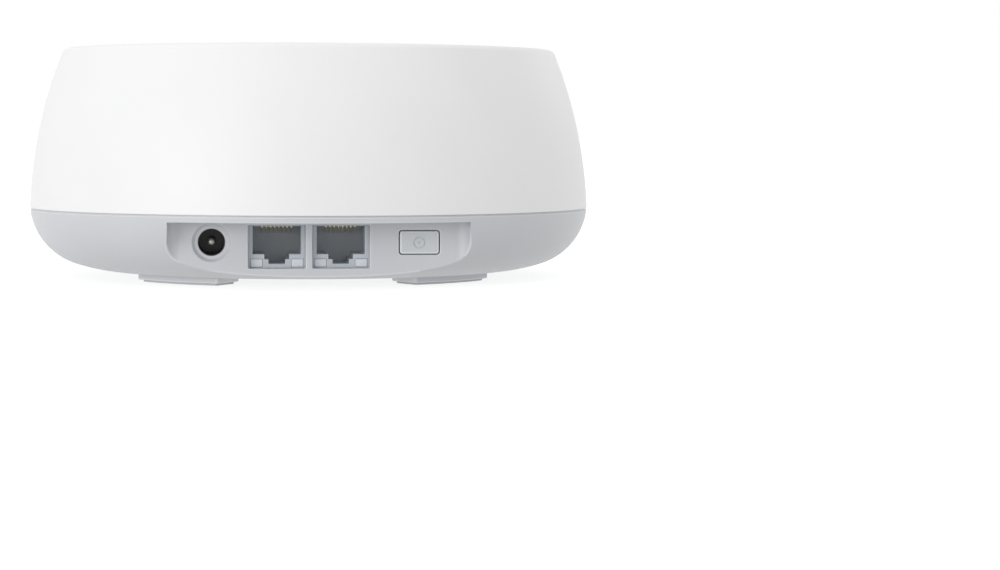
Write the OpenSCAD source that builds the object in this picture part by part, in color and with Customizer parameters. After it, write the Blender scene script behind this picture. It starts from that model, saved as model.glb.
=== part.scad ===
// Round mesh wifi node: a white domed cover over a grey bowl-shaped base whose
// rear pocket holds a power jack, two network jacks and a push button.
// Origin on the table under the body's axis, +Z up, the ports face -Y.

/* [Housing] */
// Diameter at the seam between cover and base
body_d = 148; // [147:0.5:150]
// Height of the upper rim above the table
rim_z = 60.25; // [59:0.05:63]
// Height of the seam's centre line
seam_z = 18.2; // [18:0.05:18.7]
// Width of the shadow gap at the seam
seam_gap = 0.4; // [0.2:0.05:0.5]
// Radius of the cover's bulging side, seen in section
side_r = 120.3; // [118:0.1:124]
// Height of the centre of the side's arc
side_arc_z = 13.9; // [13:0.1:15]
// Rounding of the cover's upper edge
rim_round = 1.8; // [1.2:0.1:2.4]
// Slope of the crowned top where it meets the upper edge, in degrees
crown_deg = 2; // [1:0.25:3]
// Wall of the cover
cover_wall = 2.2; // [2:0.1:2.4]
// Wall of the base
base_wall = 1.8; // [1.6:0.1:2]

/* [Base bowl] */
// Radius of the bowl's upper, tighter arc
bowl_r = 16.7; // [16.5:0.1:17]
// Height of the centre of that arc
bowl_arc_z = 19.8; // [19.6:0.1:20]
// Angle below horizontal where the tighter arc ends
bowl_turn_deg = 72.3; // [70:0.1:74]
// Radius of the flatter arc that leads to the underside
bowl_low_r = 41.5; // [40:0.5:43]

/* [Port pocket] */
// Distance of the pocket's flat panel from the axis
panel_y = 58.2; // [58:0.1:59]
// Half the width of the pocket
pocket_half_w = 37.0; // [36.5:0.1:38]
// Radius between the panel and the pocket's side walls
pocket_round = 3; // [2:0.5:4]
// Height of the pocket's ceiling
pocket_top_z = 16.6; // [16.4:0.05:16.8]

/* [Power jack] */
// Place of the power jack across the panel
dc_x = -26.25; // [-26.5:0.25:-25]
// Height of the power jack's axis
dc_z = 11.5; // [11.2:0.1:11.8]
// Diameter of the dish in the panel
dc_sink_d = 9.65; // [9:0.05:10]
// Diameter of the dish's flat floor
dc_floor_d = 8.2; // [7.6:0.1:8.8]
// Depth of the dish
dc_sink_t = 1.0; // [0.6:0.1:1.2]
// Diameter of the hole in the panel
dc_hole_d = 6.7; // [6.5:0.05:7]
// Bore of the jack for a 5.5 mm barrel plug
dc_bore_d = 6.2; // [6:0.05:6.4]
// Diameter of the jack's centre pin
dc_pin_d = 2.0; // [1.95:0.05:2.05]

/* [Network jacks] */
// Places of the two network jacks across the panel
lan_x = [-10.25, 5.5];
// Width of each cut-out in the panel
lan_cut_w = 14.2; // [14:0.1:14.4]
// Lowest and highest point of each cut-out
lan_cut_z = [5.0, 15.8];
// Width of the plug opening
lan_open_w = 11.9; // [11.7:0.05:12]
// Lowest and highest point of the plug opening
lan_open_z = [8.5, 15.4];
// Outer width of a jack
lan_body_w = 15.5; // [15.3:0.1:15.6]
// Depth of a jack
lan_body_l = 18; // [16:0.5:20]

/* [Push button] */
// Place of the button across the panel
btn_x = 24.8; // [24:0.1:26]
// Height of the button's centre
btn_z = 11.4; // [11.2:0.1:11.6]
// Width and height of the hole for the button
btn_hole = [10.15, 6.1];
// Gap round the button's cap
btn_gap = 0.25; // [0.2:0.05:0.35]
// Travel of the button and of its switch
btn_travel = 0.3; // [0.2:0.05:0.4]

/* [Feet] */
// Outer radius of the moulded pads
pad_out_r = 51.6; // [51:0.1:52]
// Inner radius of the moulded pads
pad_in_r = 40.4; // [40:0.1:41]
// Angle that each pad covers
pad_deg = 33; // [30:1:36]
// Height of the moulded pads' underside above the table
pad_z = 0.55; // [0.4:0.05:0.7]
// Step from a moulded pad's edge to its rubber foot
foot_inset = 0.9; // [0.8:0.1:1.2]

/* [Circuit board] */
// Height of the board's underside
board_z = 18.3; // [18.3:0.05:18.4]
// Thickness of the board
board_t = 1.6; // [1.2:0.2:1.6]
// Radius of the board
board_r = 62; // [61.5:0.5:63]

/* [Inside] */
// Radius of the circle on which the case screws stand
case_screw_r = 46; // [45.8:0.1:46.2]
// Number of cooling slots in the underside
slots = 32; // [20:2:36]
// Number of fins on the heatsink
fins = 11; // [7:2:13]
// Directions in which the four antennas stand
antenna_deg = [0, 62, 118, 180];

/* [Hidden] */
$fn = 96;
EPS = 0.01;
FIT = 0.05;
FAR = 40;

seam_r = body_d / 2;
base_rim_z = seam_z - seam_gap / 2;
cover_rim_z = seam_z + seam_gap / 2;
board_top = board_z + board_t;

// Bowl: centre of the tighter arc, then of the flatter arc tangent to it.
bowl_c = [seam_r - bowl_r, bowl_arc_z];
bowl_low_c = bowl_c + (bowl_low_r - bowl_r) * [-cos(bowl_turn_deg), sin(bowl_turn_deg)];
under_z = bowl_low_c[1] - bowl_low_r;
floor_z = under_z + base_wall;

// Cover: centre of the side's arc, then of the rounding of the upper edge.
side_c = [seam_r - sqrt(pow(side_r, 2) - pow(cover_rim_z - side_arc_z, 2)), side_arc_z];
edge_z = rim_z - rim_round;
edge_c = [side_c[0] + sqrt(pow(side_r - rim_round, 2) - pow(edge_z - side_arc_z, 2)), edge_z];
edge_start_deg = atan2(edge_c[1] - side_c[1], edge_c[0] - side_c[0]);
crown_start = edge_c + rim_round * [sin(crown_deg), cos(crown_deg)];
crown_r = crown_start[0] / sin(crown_deg);
crown_c = [0, crown_start[1] - crown_r * cos(crown_deg)];

// The base's raised lip inside the cover, and the flange that carries it.
lip_r = [70, 71.5];
lip_z = 20.7;
panel_in_y = panel_y - base_wall;
jack_front_y = panel_in_y - 0.2;
jack_z = board_z - 13.4;

// Depth of the power jack's bore, and the root that holds its pin.
dc_bore_l = 11;
dc_root_l = 2;
dc_root_r = 1.5;

// Button: its face stands a little proud, and a retaining plate sits behind the panel.
btn_proud = 0.25;
btn_plate_t = 1.0;
btn_plate_y = panel_in_y - 0.1;
btn_low_z = btn_z - 3.8;
switch_z = 14.3;
switch_front_y = 52.2;
plunger_front_y = 53.6;
plunger_in = 1.4;

foot_t = 0.95;
case_screws_at = [for (a = [45:90:315]) case_screw_r * [cos(a), sin(a)]];
board_screws_at = [[50, 14], [-50, 14], [46, -30], [-46, -30]];
sink_screws_at = [for (x = [-23.5, 23.5], y = [-21.5, 33.5]) [x, y]];
bracket_screws_at = [for (a = [0:90:270]) 44 * [cos(a), sin(a)]];
reset_at = [47, 0];
reset_tube_z = 12.5;
reset_plunger_z = board_z - 4.4;
case_head_z = 4.6;
case_post_z = 21;
label_r = 21;
slot_r = 27;
slot_size = [10, 1.6];
bracket_z = 36;
bracket_t = 2;
antenna_face_r = 56.4;
sink_z = board_top + 2.7;

// Points along an arc about c, from angle a0 to a1 in n steps.
function arc(c, r, a0, a1, n) =
    [for (i = [0:n]) c + r * [cos(a0 + (a1 - a0) * i / n), sin(a0 + (a1 - a0) * i / n)]];

// Section of the bowl, filled to the axis, set in from the outside by t.
module bowl_section(t, top) {
    c = bowl_c;
    rim_deg = asin((c[1] - top) / (bowl_r - t));
    polygon(concat(
        [[0, under_z + t]],
        arc(bowl_low_c, bowl_low_r - t, -90, -bowl_turn_deg, 6),
        arc(c, bowl_r - t, -bowl_turn_deg, -rim_deg, 16),
        [[0, top]]
    ));
}

module bowl_solid(t, top) {
    rotate_extrude() bowl_section(t, top);
}

// Section of the cover, filled to the axis.
module cover_outer_section() {
    polygon(concat(
        [[0, cover_rim_z]],
        arc(side_c, side_r, asin((cover_rim_z - side_arc_z) / side_r), edge_start_deg, 18),
        arc(edge_c, rim_round, edge_start_deg, 90 - crown_deg, 6),
        arc(crown_c, crown_r, 90 - crown_deg, 90, 4)
    ));
}

module cover_inner_section() {
    inner_r = side_r - cover_wall;
    low_deg = asin((cover_rim_z - 1 - side_arc_z) / inner_r);
    high_deg = asin((rim_z - cover_wall - side_arc_z) / inner_r);
    polygon(concat(
        [[0, cover_rim_z - 1]],
        arc(side_c, inner_r, low_deg, high_deg, 18),
        arc(crown_c, crown_r - cover_wall, 90 - crown_deg, 90, 4)
    ));
}

// Rectangle w by h with true round corners, centred.
module rounded_rect(w, h, r) {
    square([w - 2 * r, h], center = true);
    square([w, h - 2 * r], center = true);
    for (x = [-1, 1], y = [-1, 1]) {
        translate([x * (w / 2 - r), y * (h / 2 - r)]) circle(r);
    }
}

// Plan of the pocket, grown by t on the panel's side and the two ends.
module pocket_plan(t) {
    half = pocket_half_w + t;
    r = pocket_round + t;
    straight_y = -(panel_y + pocket_round);
    translate([-half, straight_y - FAR]) square([2 * half, FAR]);
    translate([-(half - r), straight_y - FAR]) square([2 * (half - r), FAR + r]);
    for (x = [-1, 1]) {
        translate([x * (half - r), straight_y]) circle(r);
    }
}

// Prism that runs along +Y from y0, its outline given in X and Z.
module along_y(y0, length) {
    translate([0, y0 + length, 0]) rotate([90, 0, 0]) linear_extrude(length) children();
}

module rod_y(x, z, y0, length, r) {
    translate([x, y0, z]) rotate([-90, 0, 0]) cylinder(h = length, r = r);
}

module rod(at, z0, z1, r) {
    translate([at[0], at[1], z0]) cylinder(h = z1 - z0, r = r);
}

// Block centred on at, from z0 upwards.
module block(at, z0, size) {
    translate([at[0] - size[0] / 2, at[1] - size[1] / 2, z0]) cube(size);
}

// Sector of a ring between two radii, centred on the direction deg.
module ring_sector(r_in, r_out, deg, span, z0, z1) {
    rotate([0, 0, deg - span / 2])
        rotate_extrude(angle = span)
            translate([r_in, z0]) square([r_out - r_in, z1 - z0]);
}

// Screw standing on its head: the shank runs up from z_head, the head hangs below it.
module screw_up(at, z_head, length, shank_r, head_r, head_t) {
    difference() {
        union() {
            rod(at, z_head, z_head + length, shank_r);
            rod(at, z_head - head_t, z_head, head_r);
        }
        for (a = [0, 90]) {
            translate([at[0], at[1], z_head - head_t]) rotate([0, 0, a])
                cube([head_r, head_r / 4, head_t], center = true);
        }
    }
}

module screw_down(at, z_head, length, shank_r, head_r, head_t) {
    translate([at[0], at[1], z_head]) mirror([0, 0, 1])
        screw_up([0, 0], 0, length, shank_r, head_r, head_t);
}

module top_cover() color("white") {
    difference() {
        union() {
            difference() {
                rotate_extrude() cover_outer_section();
                rotate_extrude() cover_inner_section();
            }
            for (p = case_screws_at) rod(p, case_post_z + FIT, rim_z - 1, 3.5);
            for (p = bracket_screws_at) rod(p, bracket_z + bracket_t + FIT, rim_z - 1, 3);
        }
        for (p = case_screws_at) rod(p, case_post_z, case_post_z + 12, 1.3);
        for (p = bracket_screws_at) rod(p, bracket_z + bracket_t, bracket_z + 11, 1.05);
        // window for the status light
        block([0, seam_r], board_top + 0.9, [6.2, 8, 1.5]);
    }
}

module base_walls() {
    difference() {
        bowl_solid(0, base_rim_z);
        bowl_solid(base_wall, base_rim_z + EPS);
    }
    // flange and lip that line up the cover
    flange_w = 3;
    rotate_extrude() translate([lip_r[0], pocket_top_z])
        square([flange_w, base_rim_z - pocket_top_z]);
    rotate_extrude() translate([lip_r[0], pocket_top_z])
        square([lip_r[1] - lip_r[0], lip_z - pocket_top_z]);
    // pocket walls, kept inside the bowl's outline
    intersection() {
        bowl_solid(0, base_rim_z);
        translate([0, 0, under_z]) linear_extrude(base_rim_z - under_z) pocket_plan(base_wall);
    }
    for (p = case_screws_at) rod(p, floor_z - 1, case_post_z, 4.3);
    for (p = board_screws_at) rod(p, floor_z - 1, board_z, 3.2);
    rod(reset_at, floor_z - 1, reset_tube_z, 3.2);
    for (a = [45:90:315]) ring_sector(pad_in_r, pad_out_r, a, pad_deg, pad_z, floor_z - 0.5);
}

module base_shell() color("gainsboro") {
    difference() {
        base_walls();
        // the pocket itself, open at the rear and below
        translate([0, 0, -1]) linear_extrude(pocket_top_z + 1) pocket_plan(0);
        for (x = lan_x) {
            translate([x - lan_cut_w / 2, -panel_y - 1, lan_cut_z[0]])
                cube([lan_cut_w, base_wall + 2, lan_cut_z[1] - lan_cut_z[0]]);
        }
        // room for the jacks over the curving floor
        translate([lan_x[0] - lan_body_w / 2 - 0.3, -jack_front_y - EPS, jack_z - 0.1])
            cube([lan_x[1] - lan_x[0] + lan_body_w + 0.6, lan_body_l + 1, 5]);
        // dished hole of the power jack
        rod_y(dc_x, dc_z, -panel_y - 1, base_wall + 2, dc_hole_d / 2);
        translate([dc_x, -panel_y - EPS, dc_z]) rotate([-90, 0, 0])
            cylinder(h = dc_sink_t, r1 = dc_sink_d / 2, r2 = dc_floor_d / 2);
        along_y(-panel_y - 1, base_wall + 2)
            translate([btn_x, btn_z]) rounded_rect(btn_hole[0], btn_hole[1], 0.8);
        for (p = case_screws_at) {
            rod(p, -1, case_head_z, 3.2);
            rod(p, case_head_z - EPS, 22, 1.7);
        }
        for (p = board_screws_at) rod(p, 9, board_z + 1, 1.15);
        rod(reset_at, 0, reset_tube_z + 1, 2);
        rod([0, 0], 0, under_z + 0.2, label_r);
        for (i = [0:slots - 1]) {
            rotate([0, 0, (i + 0.5) * 360 / slots])
                translate([slot_r, -slot_size[1] / 2, 0]) cube([slot_size[0], slot_size[1], floor_z + 1]);
        }
        for (a = [45:90:315]) {
            ring_sector(pad_in_r + foot_inset, pad_out_r - foot_inset,
                a, pad_deg - 1.9, -1, foot_t);
        }
    }
}

module rubber_feet() color("darkgray") {
    side = 0.1;
    for (a = [45:90:315]) {
        ring_sector(pad_in_r + foot_inset + side, pad_out_r - foot_inset - side,
            a, pad_deg - 2.2, 0, foot_t);
    }
}

module case_screws() color("silver") {
    for (p = case_screws_at) screw_up(p, case_head_z, 25, 1.25, 2.75, 2);
}

module main_board() color("darkgreen") {
    cut_y = panel_in_y - 0.5;
    translate([0, 0, board_z]) linear_extrude(board_t) difference() {
        circle(board_r);
        translate([-2 * FAR, -cut_y - FAR]) square([4 * FAR, FAR]);
        for (p = case_screws_at) translate(p) circle(4.7);
        for (p = board_screws_at) translate(p) circle(1.4);
        for (p = sink_screws_at) translate(p) circle(1.1);
    }
}

module board_screws() color("silver") {
    for (p = board_screws_at) screw_down(p, board_top, 8, 1.1, 2.3, 1.4);
}

// Outline of the plug opening in X and Z: the wide bay, then the two latch steps.
module lan_opening() {
    latch_w = [6.1, 4.06];
    latch_drop = [1.25, 2.4];
    low = lan_open_z[0];
    translate([-lan_open_w / 2, low]) square([lan_open_w, lan_open_z[1] - low]);
    for (i = [0, 1]) {
        translate([-latch_w[i] / 2, low - latch_drop[i]]) square([latch_w[i], latch_drop[i] + 1]);
    }
}

// The two bars that carry light to the lower corners of a jack's front.
module light_pipe_bar(x, grow) {
    size = [3, 12, 2];
    from_centre = 5.05;
    low_z = 5.3;
    for (s = [-1, 1]) {
        translate([x + s * from_centre - size[0] / 2 - grow, -jack_front_y - EPS, low_z - grow])
            cube([size[0] + 2 * grow, size[1], size[2] + 2 * grow]);
    }
}

module lan_jack(x) {
    depth = 14;
    difference() {
        translate([x - lan_body_w / 2, -jack_front_y, jack_z])
            cube([lan_body_w, lan_body_l, board_z - jack_z]);
        along_y(-jack_front_y - EPS, depth) translate([x, 0]) lan_opening();
        light_pipe_bar(x, FIT);
    }
}

// Eight spring wires that hang from the roof of the opening and slope to the rear.
module lan_contacts(x) {
    pitch = 1.02;
    wire = 0.45;
    front = -jack_front_y + 1.6;
    roof = lan_open_z[1] - 0.02;
    for (i = [-3.5:1:3.5]) {
        translate([x + i * pitch - wire / 2, 0, 0]) rotate([90, 0, 90]) linear_extrude(wire)
            polygon([[front, roof], [front, roof - 0.4], [front + 9, roof - 2.3],
                [front + 9.6, roof - 2.1], [front + 9.6, roof - 1.7],
                [front + 8.9, roof - 1.9], [front + 0.6, roof]]);
    }
}

module lan_jack_left() color("beige") lan_jack(lan_x[0]);
module lan_jack_right() color("beige") lan_jack(lan_x[1]);
module lan_contacts_left() color("gold") lan_contacts(lan_x[0]);
module lan_contacts_right() color("gold") lan_contacts(lan_x[1]);

module jack_light_pipes() color("lightyellow") {
    for (x = lan_x) light_pipe_bar(x, 0);
}

module power_jack_housing() color([0.08, 0.08, 0.08]) {
    w = 9;
    difference() {
        union() {
            translate([dc_x - w / 2, -jack_front_y, dc_z - w / 2])
                cube([w, 3.4, board_z - dc_z + w / 2]);
            translate([dc_x - w / 2, -jack_front_y, dc_z]) cube([w, 14, board_z - dc_z]);
            rod_y(dc_x, dc_z, -jack_front_y, 14, w / 2 - 0.2);
        }
        rod_y(dc_x, dc_z, -jack_front_y - 1, dc_bore_l + 1, dc_bore_d / 2);
        rod_y(dc_x, dc_z, -jack_front_y, dc_bore_l + dc_root_l + FIT, dc_root_r + 0.02);
        // slot for the spring contact
        translate([dc_x - 1, -jack_front_y + 3, dc_z - dc_bore_d / 2 - 0.7]) cube([2, 8, 1.5]);
    }
}

// Round-nosed pin on a thicker root that is held in the housing's rear wall.
module power_jack_pin() color("silver") {
    nose_y = -jack_front_y + 1.8;
    root_y = -jack_front_y + dc_bore_l;
    rod_y(dc_x, dc_z, nose_y, root_y - nose_y, dc_pin_d / 2);
    translate([dc_x, nose_y, dc_z]) sphere(dc_pin_d / 2);
    rod_y(dc_x, dc_z, root_y, dc_root_l, dc_root_r);
}

module power_jack_spring() color("silver") {
    low = dc_z - dc_bore_d / 2 - 0.65;
    y0 = -jack_front_y + 3.1;
    translate([dc_x - 0.9, 0, 0]) rotate([90, 0, 90]) linear_extrude(1.8)
        polygon([[y0, low], [y0 + 7.8, low], [y0 + 7.8, low + 0.3], [y0 + 5.5, low + 0.9],
            [y0 + 3.5, low + 1.1], [y0 + 0.3, low + 0.3], [y0, low + 0.3]]);
}

module pairing_button() color("gainsboro") {
    cap = btn_hole - [2, 2] * btn_gap;
    bevel = 0.3;
    face_y = -panel_y - btn_proud;
    difference() {
        union() {
            along_y(face_y + bevel, btn_proud - bevel + panel_y - btn_plate_y)
                translate([btn_x, btn_z]) rounded_rect(cap[0], cap[1], 0.6);
            along_y(face_y, bevel + EPS)
                translate([btn_x, btn_z]) rounded_rect(cap[0] - bevel, cap[1] - bevel, 0.5);
            // retaining plate, tall enough to reach the switch
            translate([btn_x - 5.8, -btn_plate_y, btn_low_z])
                cube([11.6, btn_plate_t, switch_z + 2 - btn_low_z]);
            rod_y(btn_x, switch_z, -btn_plate_y + btn_plate_t - EPS,
                btn_plate_y - btn_plate_t - plunger_front_y - FIT, 2);
        }
        // plain ring-and-dot mark
        along_y(face_y - EPS, 0.12) translate([btn_x, btn_z]) difference() {
            circle(1.5);
            circle(1.15);
        }
        rod_y(btn_x, btn_z, face_y - EPS, 0.12, 0.4);
    }
}

module button_switch_body() color([0.12, 0.12, 0.12]) {
    difference() {
        translate([btn_x - 3, -switch_front_y, switch_z - 3])
            cube([6, 3.6, board_z - switch_z + 3]);
        rod_y(btn_x, switch_z, -switch_front_y - 1, 1 + plunger_in + 2 * btn_travel, 1.8);
    }
}

module button_switch_plunger() color("ivory") {
    rod_y(btn_x, switch_z, -plunger_front_y, plunger_front_y - switch_front_y + plunger_in, 1.75);
}

// Recessed in the underside; its collar rests on the guide tube.
module reset_button() color("gainsboro") {
    difference() {
        rod(reset_at, under_z + 0.3, reset_tube_z + 0.5, 1.93);
        rod(reset_at, under_z, under_z + 0.6, 1);
    }
    rod(reset_at, reset_tube_z + FIT, reset_plunger_z - FIT, 2.8);
}

module reset_switch_body() color([0.12, 0.12, 0.12]) {
    difference() {
        block(reset_at, board_z - 3.5, [6, 6, 3.5]);
        rod(reset_at, board_z - 4, board_z - 1.5, 1.8);
    }
}

module reset_switch_plunger() color("ivory") {
    rod(reset_at, reset_plunger_z, board_z - 2, 1.75);
}

module heatsink() color("silver") {
    size = [56, 60];
    base_t = 2;
    fin_h = 9.4;
    fin_t = 1.4;
    pitch = (size[0] - fin_t) / (fins - 1);
    difference() {
        union() {
            block([0, 6], sink_z, [size[0], size[1], base_t]);
            for (i = [0:fins - 1]) {
                block([-size[0] / 2 + fin_t / 2 + i * pitch, 6], sink_z + base_t - EPS,
                    [fin_t, size[1] - 10, fin_h]);
            }
            for (p = sink_screws_at) rod(p, board_top, sink_z + EPS, 2.6);
        }
        for (p = sink_screws_at) rod(p, board_top - 1, sink_z + 1.5, 1);
        // the corners clear the case's screw posts
        for (p = case_screws_at) rod(p, sink_z - 1, sink_z + 20, 5);
    }
}

module heatsink_screws() color("silver") {
    for (p = sink_screws_at) screw_up(p, board_z, board_t + 3.6, 0.95, 2, 1.3);
}

module thermal_pads() color("lightsteelblue") {
    block([0, -9], board_top + 1.5, [17, 17, sink_z - board_top - 1.5]);
    for (x = [-11, 11]) block([x, 16.5], board_top + 2.2, [16, 20, sink_z - board_top - 2.2]);
}

module main_processor() color([0.1, 0.1, 0.1]) {
    block([0, -9], board_top, [17, 17, 1.5]);
}

module memory_chips() color([0.1, 0.1, 0.1]) {
    block([-17, -8], board_top, [9, 13, 1.1]);
    block([17, -8], board_top, [8, 6, 0.9]);
}

module radio_chips() color([0.1, 0.1, 0.1]) {
    for (x = [-11, 11]) block([x, 16.5], board_top, [9, 9, 0.9]);
}

module radio_shields() color("silver") {
    skin = 0.3;
    for (x = [-11, 11]) {
        difference() {
            block([x, 16.5], board_top, [19, 23, 2.2]);
            block([x, 16.5], board_top - 1, [19 - 2 * skin, 23 - 2 * skin, 3.2 - skin]);
        }
    }
}

module lan_transformers() color([0.1, 0.1, 0.1]) {
    for (x = lan_x) block([x, -41], board_top, [14, 9, 5]);
}

module power_inductors() color("dimgray") {
    for (p = [[-42, -16], [-33, -20]]) {
        translate([p[0], p[1], board_top]) linear_extrude(4) rounded_rect(7, 7, 1.2);
    }
}

module power_regulators() color([0.1, 0.1, 0.1]) {
    for (p = [[-42, -7], [-34, -11]]) block(p, board_top, [4, 4, 1]);
}

module filter_capacitors() color("silver") {
    for (p = [[-23, -50], [-31, -47], [-38, -41]]) {
        rod(p, board_top, board_top + 7.7, 3.15);
    }
}

module clock_crystals() color("silver") {
    for (x = [-12, 12]) block([x, -20.5], board_top, [3.2, 2.5, 0.8]);
}

// Places a child in the frame of an antenna: +X outwards, +Y along its board.
module at_antennas() {
    for (a = antenna_deg) rotate([0, 0, a]) children();
}

// The two pegs that carry an antenna's board, or the holes for them.
module antenna_pegs(x, length, r) {
    for (y = [-11, 11]) {
        translate([x, y, bracket_z + 14]) rotate([0, 90, 0]) cylinder(h = length, r = r);
    }
}

module antenna_bracket() color("whitesmoke") {
    wing_t = 1.6;
    wing_w = 30;
    wing_h = 18;
    translate([0, 0, bracket_z]) linear_extrude(bracket_t) difference() {
        circle(antenna_face_r - 0.2);
        circle(38);
        for (p = case_screws_at) translate(p) circle(4);
        for (p = bracket_screws_at) translate(p) circle(1.4);
    }
    at_antennas() {
        translate([antenna_face_r - wing_t, -wing_w / 2, bracket_z]) cube([wing_t, wing_w, wing_h]);
        antenna_pegs(antenna_face_r - 1, 2.4, 0.9);
    }
}

module bracket_screws() color("silver") {
    for (p = bracket_screws_at) screw_up(p, bracket_z, 9, 1, 2.1, 1.3);
}

module antenna_elements() color("darkgoldenrod") {
    size = [0.8, 28, 13];
    at_antennas() {
        difference() {
            translate([antenna_face_r + FIT, -size[1] / 2, bracket_z + 4]) cube(size);
            antenna_pegs(antenna_face_r - 1, 3, 1);
        }
    }
}

// Route of an antenna's lead in the antenna's own frame, from its socket to its board.
lead_r = 0.6;
lead_route = [
    [58.2, 12, 21.3], [58.3, 12, 23], [59, 12, 26], [60, 11.8, 30], [60.3, 11, 34],
    [60.2, 9.5, 38], [59.6, 7, 41.5], [58.6, 4, 43.6], [57.95, 1, 44.2], [57.9, -2, 44.3]
];

function unit(v) = v / norm(v);
function tangent(p, i) = unit(p[min(i + 1, len(p) - 1)] - p[max(i - 1, 0)]);

// Tube of eight sides swept along the points p; side directions come from +X.
module tube(p, r) {
    sides = 8;
    n = len(p);
    rings = [for (i = [0:n - 1])
        let (t = tangent(p, i), u = unit([1, 0, 0] - (t * [1, 0, 0]) * t), v = cross(t, u))
        for (k = [0:sides - 1]) p[i] + r * (cos(k * 360 / sides) * u + sin(k * 360 / sides) * v)];
    walls = [for (i = [0:n - 2], k = [0:sides - 1])
        [i * sides + k, i * sides + (k + 1) % sides,
            (i + 1) * sides + (k + 1) % sides, (i + 1) * sides + k]];
    ends = [[for (k = [sides - 1:-1:0]) k], [for (k = [0:sides - 1]) (n - 1) * sides + k]];
    polyhedron(rings, concat(ends, [for (w = walls) [w[3], w[2], w[1], w[0]]]));
}

module antenna_leads() color([0.15, 0.15, 0.15]) {
    at_antennas() tube(lead_route, lead_r);
}

module antenna_sockets() color("gold") {
    at_antennas() rod([58.2, 12], board_top, board_top + 1.3, 1.3);
}

module status_led() color("white") {
    block([0, 60.6], board_top, [3, 1.4, 1.6]);
}

module status_light_pipe() color("whitesmoke") {
    intersection() {
        block([0, 67.6], board_top + 1, [6, 12.4, 1.3]);
        rotate_extrude() cover_outer_section();
    }
}

module base_label() color("whitesmoke") {
    rod([0, 0], under_z + 0.05, under_z + 0.2, label_r - 0.3);
}

top_cover();
base_shell();
rubber_feet();
case_screws();
main_board();
board_screws();
lan_jack_left();
lan_jack_right();
lan_contacts_left();
lan_contacts_right();
jack_light_pipes();
power_jack_housing();
power_jack_pin();
power_jack_spring();
pairing_button();
button_switch_body();
button_switch_plunger();
reset_button();
reset_switch_body();
reset_switch_plunger();
heatsink();
heatsink_screws();
thermal_pads();
main_processor();
memory_chips();
radio_chips();
radio_shields();
lan_transformers();
power_inductors();
power_regulators();
filter_capacitors();
clock_crystals();
antenna_bracket();
bracket_screws();
antenna_elements();
antenna_leads();
antenna_sockets();
status_led();
status_light_pipe();
base_label();
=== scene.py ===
from functools import partial
from math import acos, asin, atan2, ceil, cos, degrees, hypot, pi, radians, sin, sqrt, tan

import bpy
import numpy as np
from mathutils import Matrix, Vector
from mathutils.geometry import delaunay_2d_cdt


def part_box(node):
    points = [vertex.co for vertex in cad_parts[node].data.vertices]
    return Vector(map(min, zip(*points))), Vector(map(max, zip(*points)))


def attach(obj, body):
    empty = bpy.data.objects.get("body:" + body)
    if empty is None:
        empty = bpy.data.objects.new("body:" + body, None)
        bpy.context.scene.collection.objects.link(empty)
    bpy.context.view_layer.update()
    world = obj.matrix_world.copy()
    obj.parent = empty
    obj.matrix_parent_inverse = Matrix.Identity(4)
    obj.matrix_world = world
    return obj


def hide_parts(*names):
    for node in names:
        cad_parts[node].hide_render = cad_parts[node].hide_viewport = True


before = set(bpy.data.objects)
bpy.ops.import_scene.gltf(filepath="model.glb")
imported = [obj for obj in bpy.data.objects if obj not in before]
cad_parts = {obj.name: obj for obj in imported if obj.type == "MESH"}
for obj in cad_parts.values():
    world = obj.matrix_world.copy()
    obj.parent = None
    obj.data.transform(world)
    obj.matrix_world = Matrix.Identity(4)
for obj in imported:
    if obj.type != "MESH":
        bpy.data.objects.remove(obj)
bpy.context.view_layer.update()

# Mesh wifi node: a white domed cover over a grey bowl whose rear pocket holds a power jack, two
# network jacks and a push button. Shapes are worked out in millimetres in the row's frame: origin
# on the table under the axis, +Z up, the ports face -Y. Angles round the axis start at -Y. Names
# that end in _R, _Z, _X and _Y are a radius or a place along an axis.
MM = 0.001

# ---------------------------------------------------------------- sizes


def span(*nodes):
    """Lowest and highest corner of CAD nodes, in millimetres."""
    boxes = [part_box(node) for node in nodes]
    low = [min(box[0][axis] for box in boxes) / MM for axis in range(3)]
    high = [max(box[1][axis] for box in boxes) / MM for axis in range(3)]
    return Vector(low), Vector(high)


def middle(node, axis):
    low, high = span(node)
    return (low[axis] + high[axis]) / 2


cover_low, cover_high = span("top_cover")
SEAM_R = round(cover_high.x, 3)
COVER_Z = round(cover_low.z, 3)
BASE_Z = COVER_Z - 0.4
EDGE = 0.3
SEAM_EDGE = 0.15
SEAM_DEPTH = 0.45

# Bowl: a tight arc from the seam, then a flatter one to the underside.
BOWL_R = 16.7
BOWL = (SEAM_R - BOWL_R, 19.8)
LOW_R = 41.5
TURN = radians(72.3)
LOW = (BOWL[0] - (LOW_R - BOWL_R) * cos(TURN), BOWL[1] + (LOW_R - BOWL_R) * sin(TURN))
UNDER_Z = LOW[1] - LOW_R
BASE_WALL = 1.8
FLOOR_Z = UNDER_Z + BASE_WALL
LIP_R = (70, 71.5)
LIP_Z = 20.7

# Pocket in the bowl, open at the rear and below.
PANEL_Y = -58.2
PANEL_IN_Y = PANEL_Y + BASE_WALL
POCKET_HALF = 37
POCKET_ROUND = 3
CEILING_Z = 16.6
POCKET_EDGE = 0.5
POCKET_ZONE = 36

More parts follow.
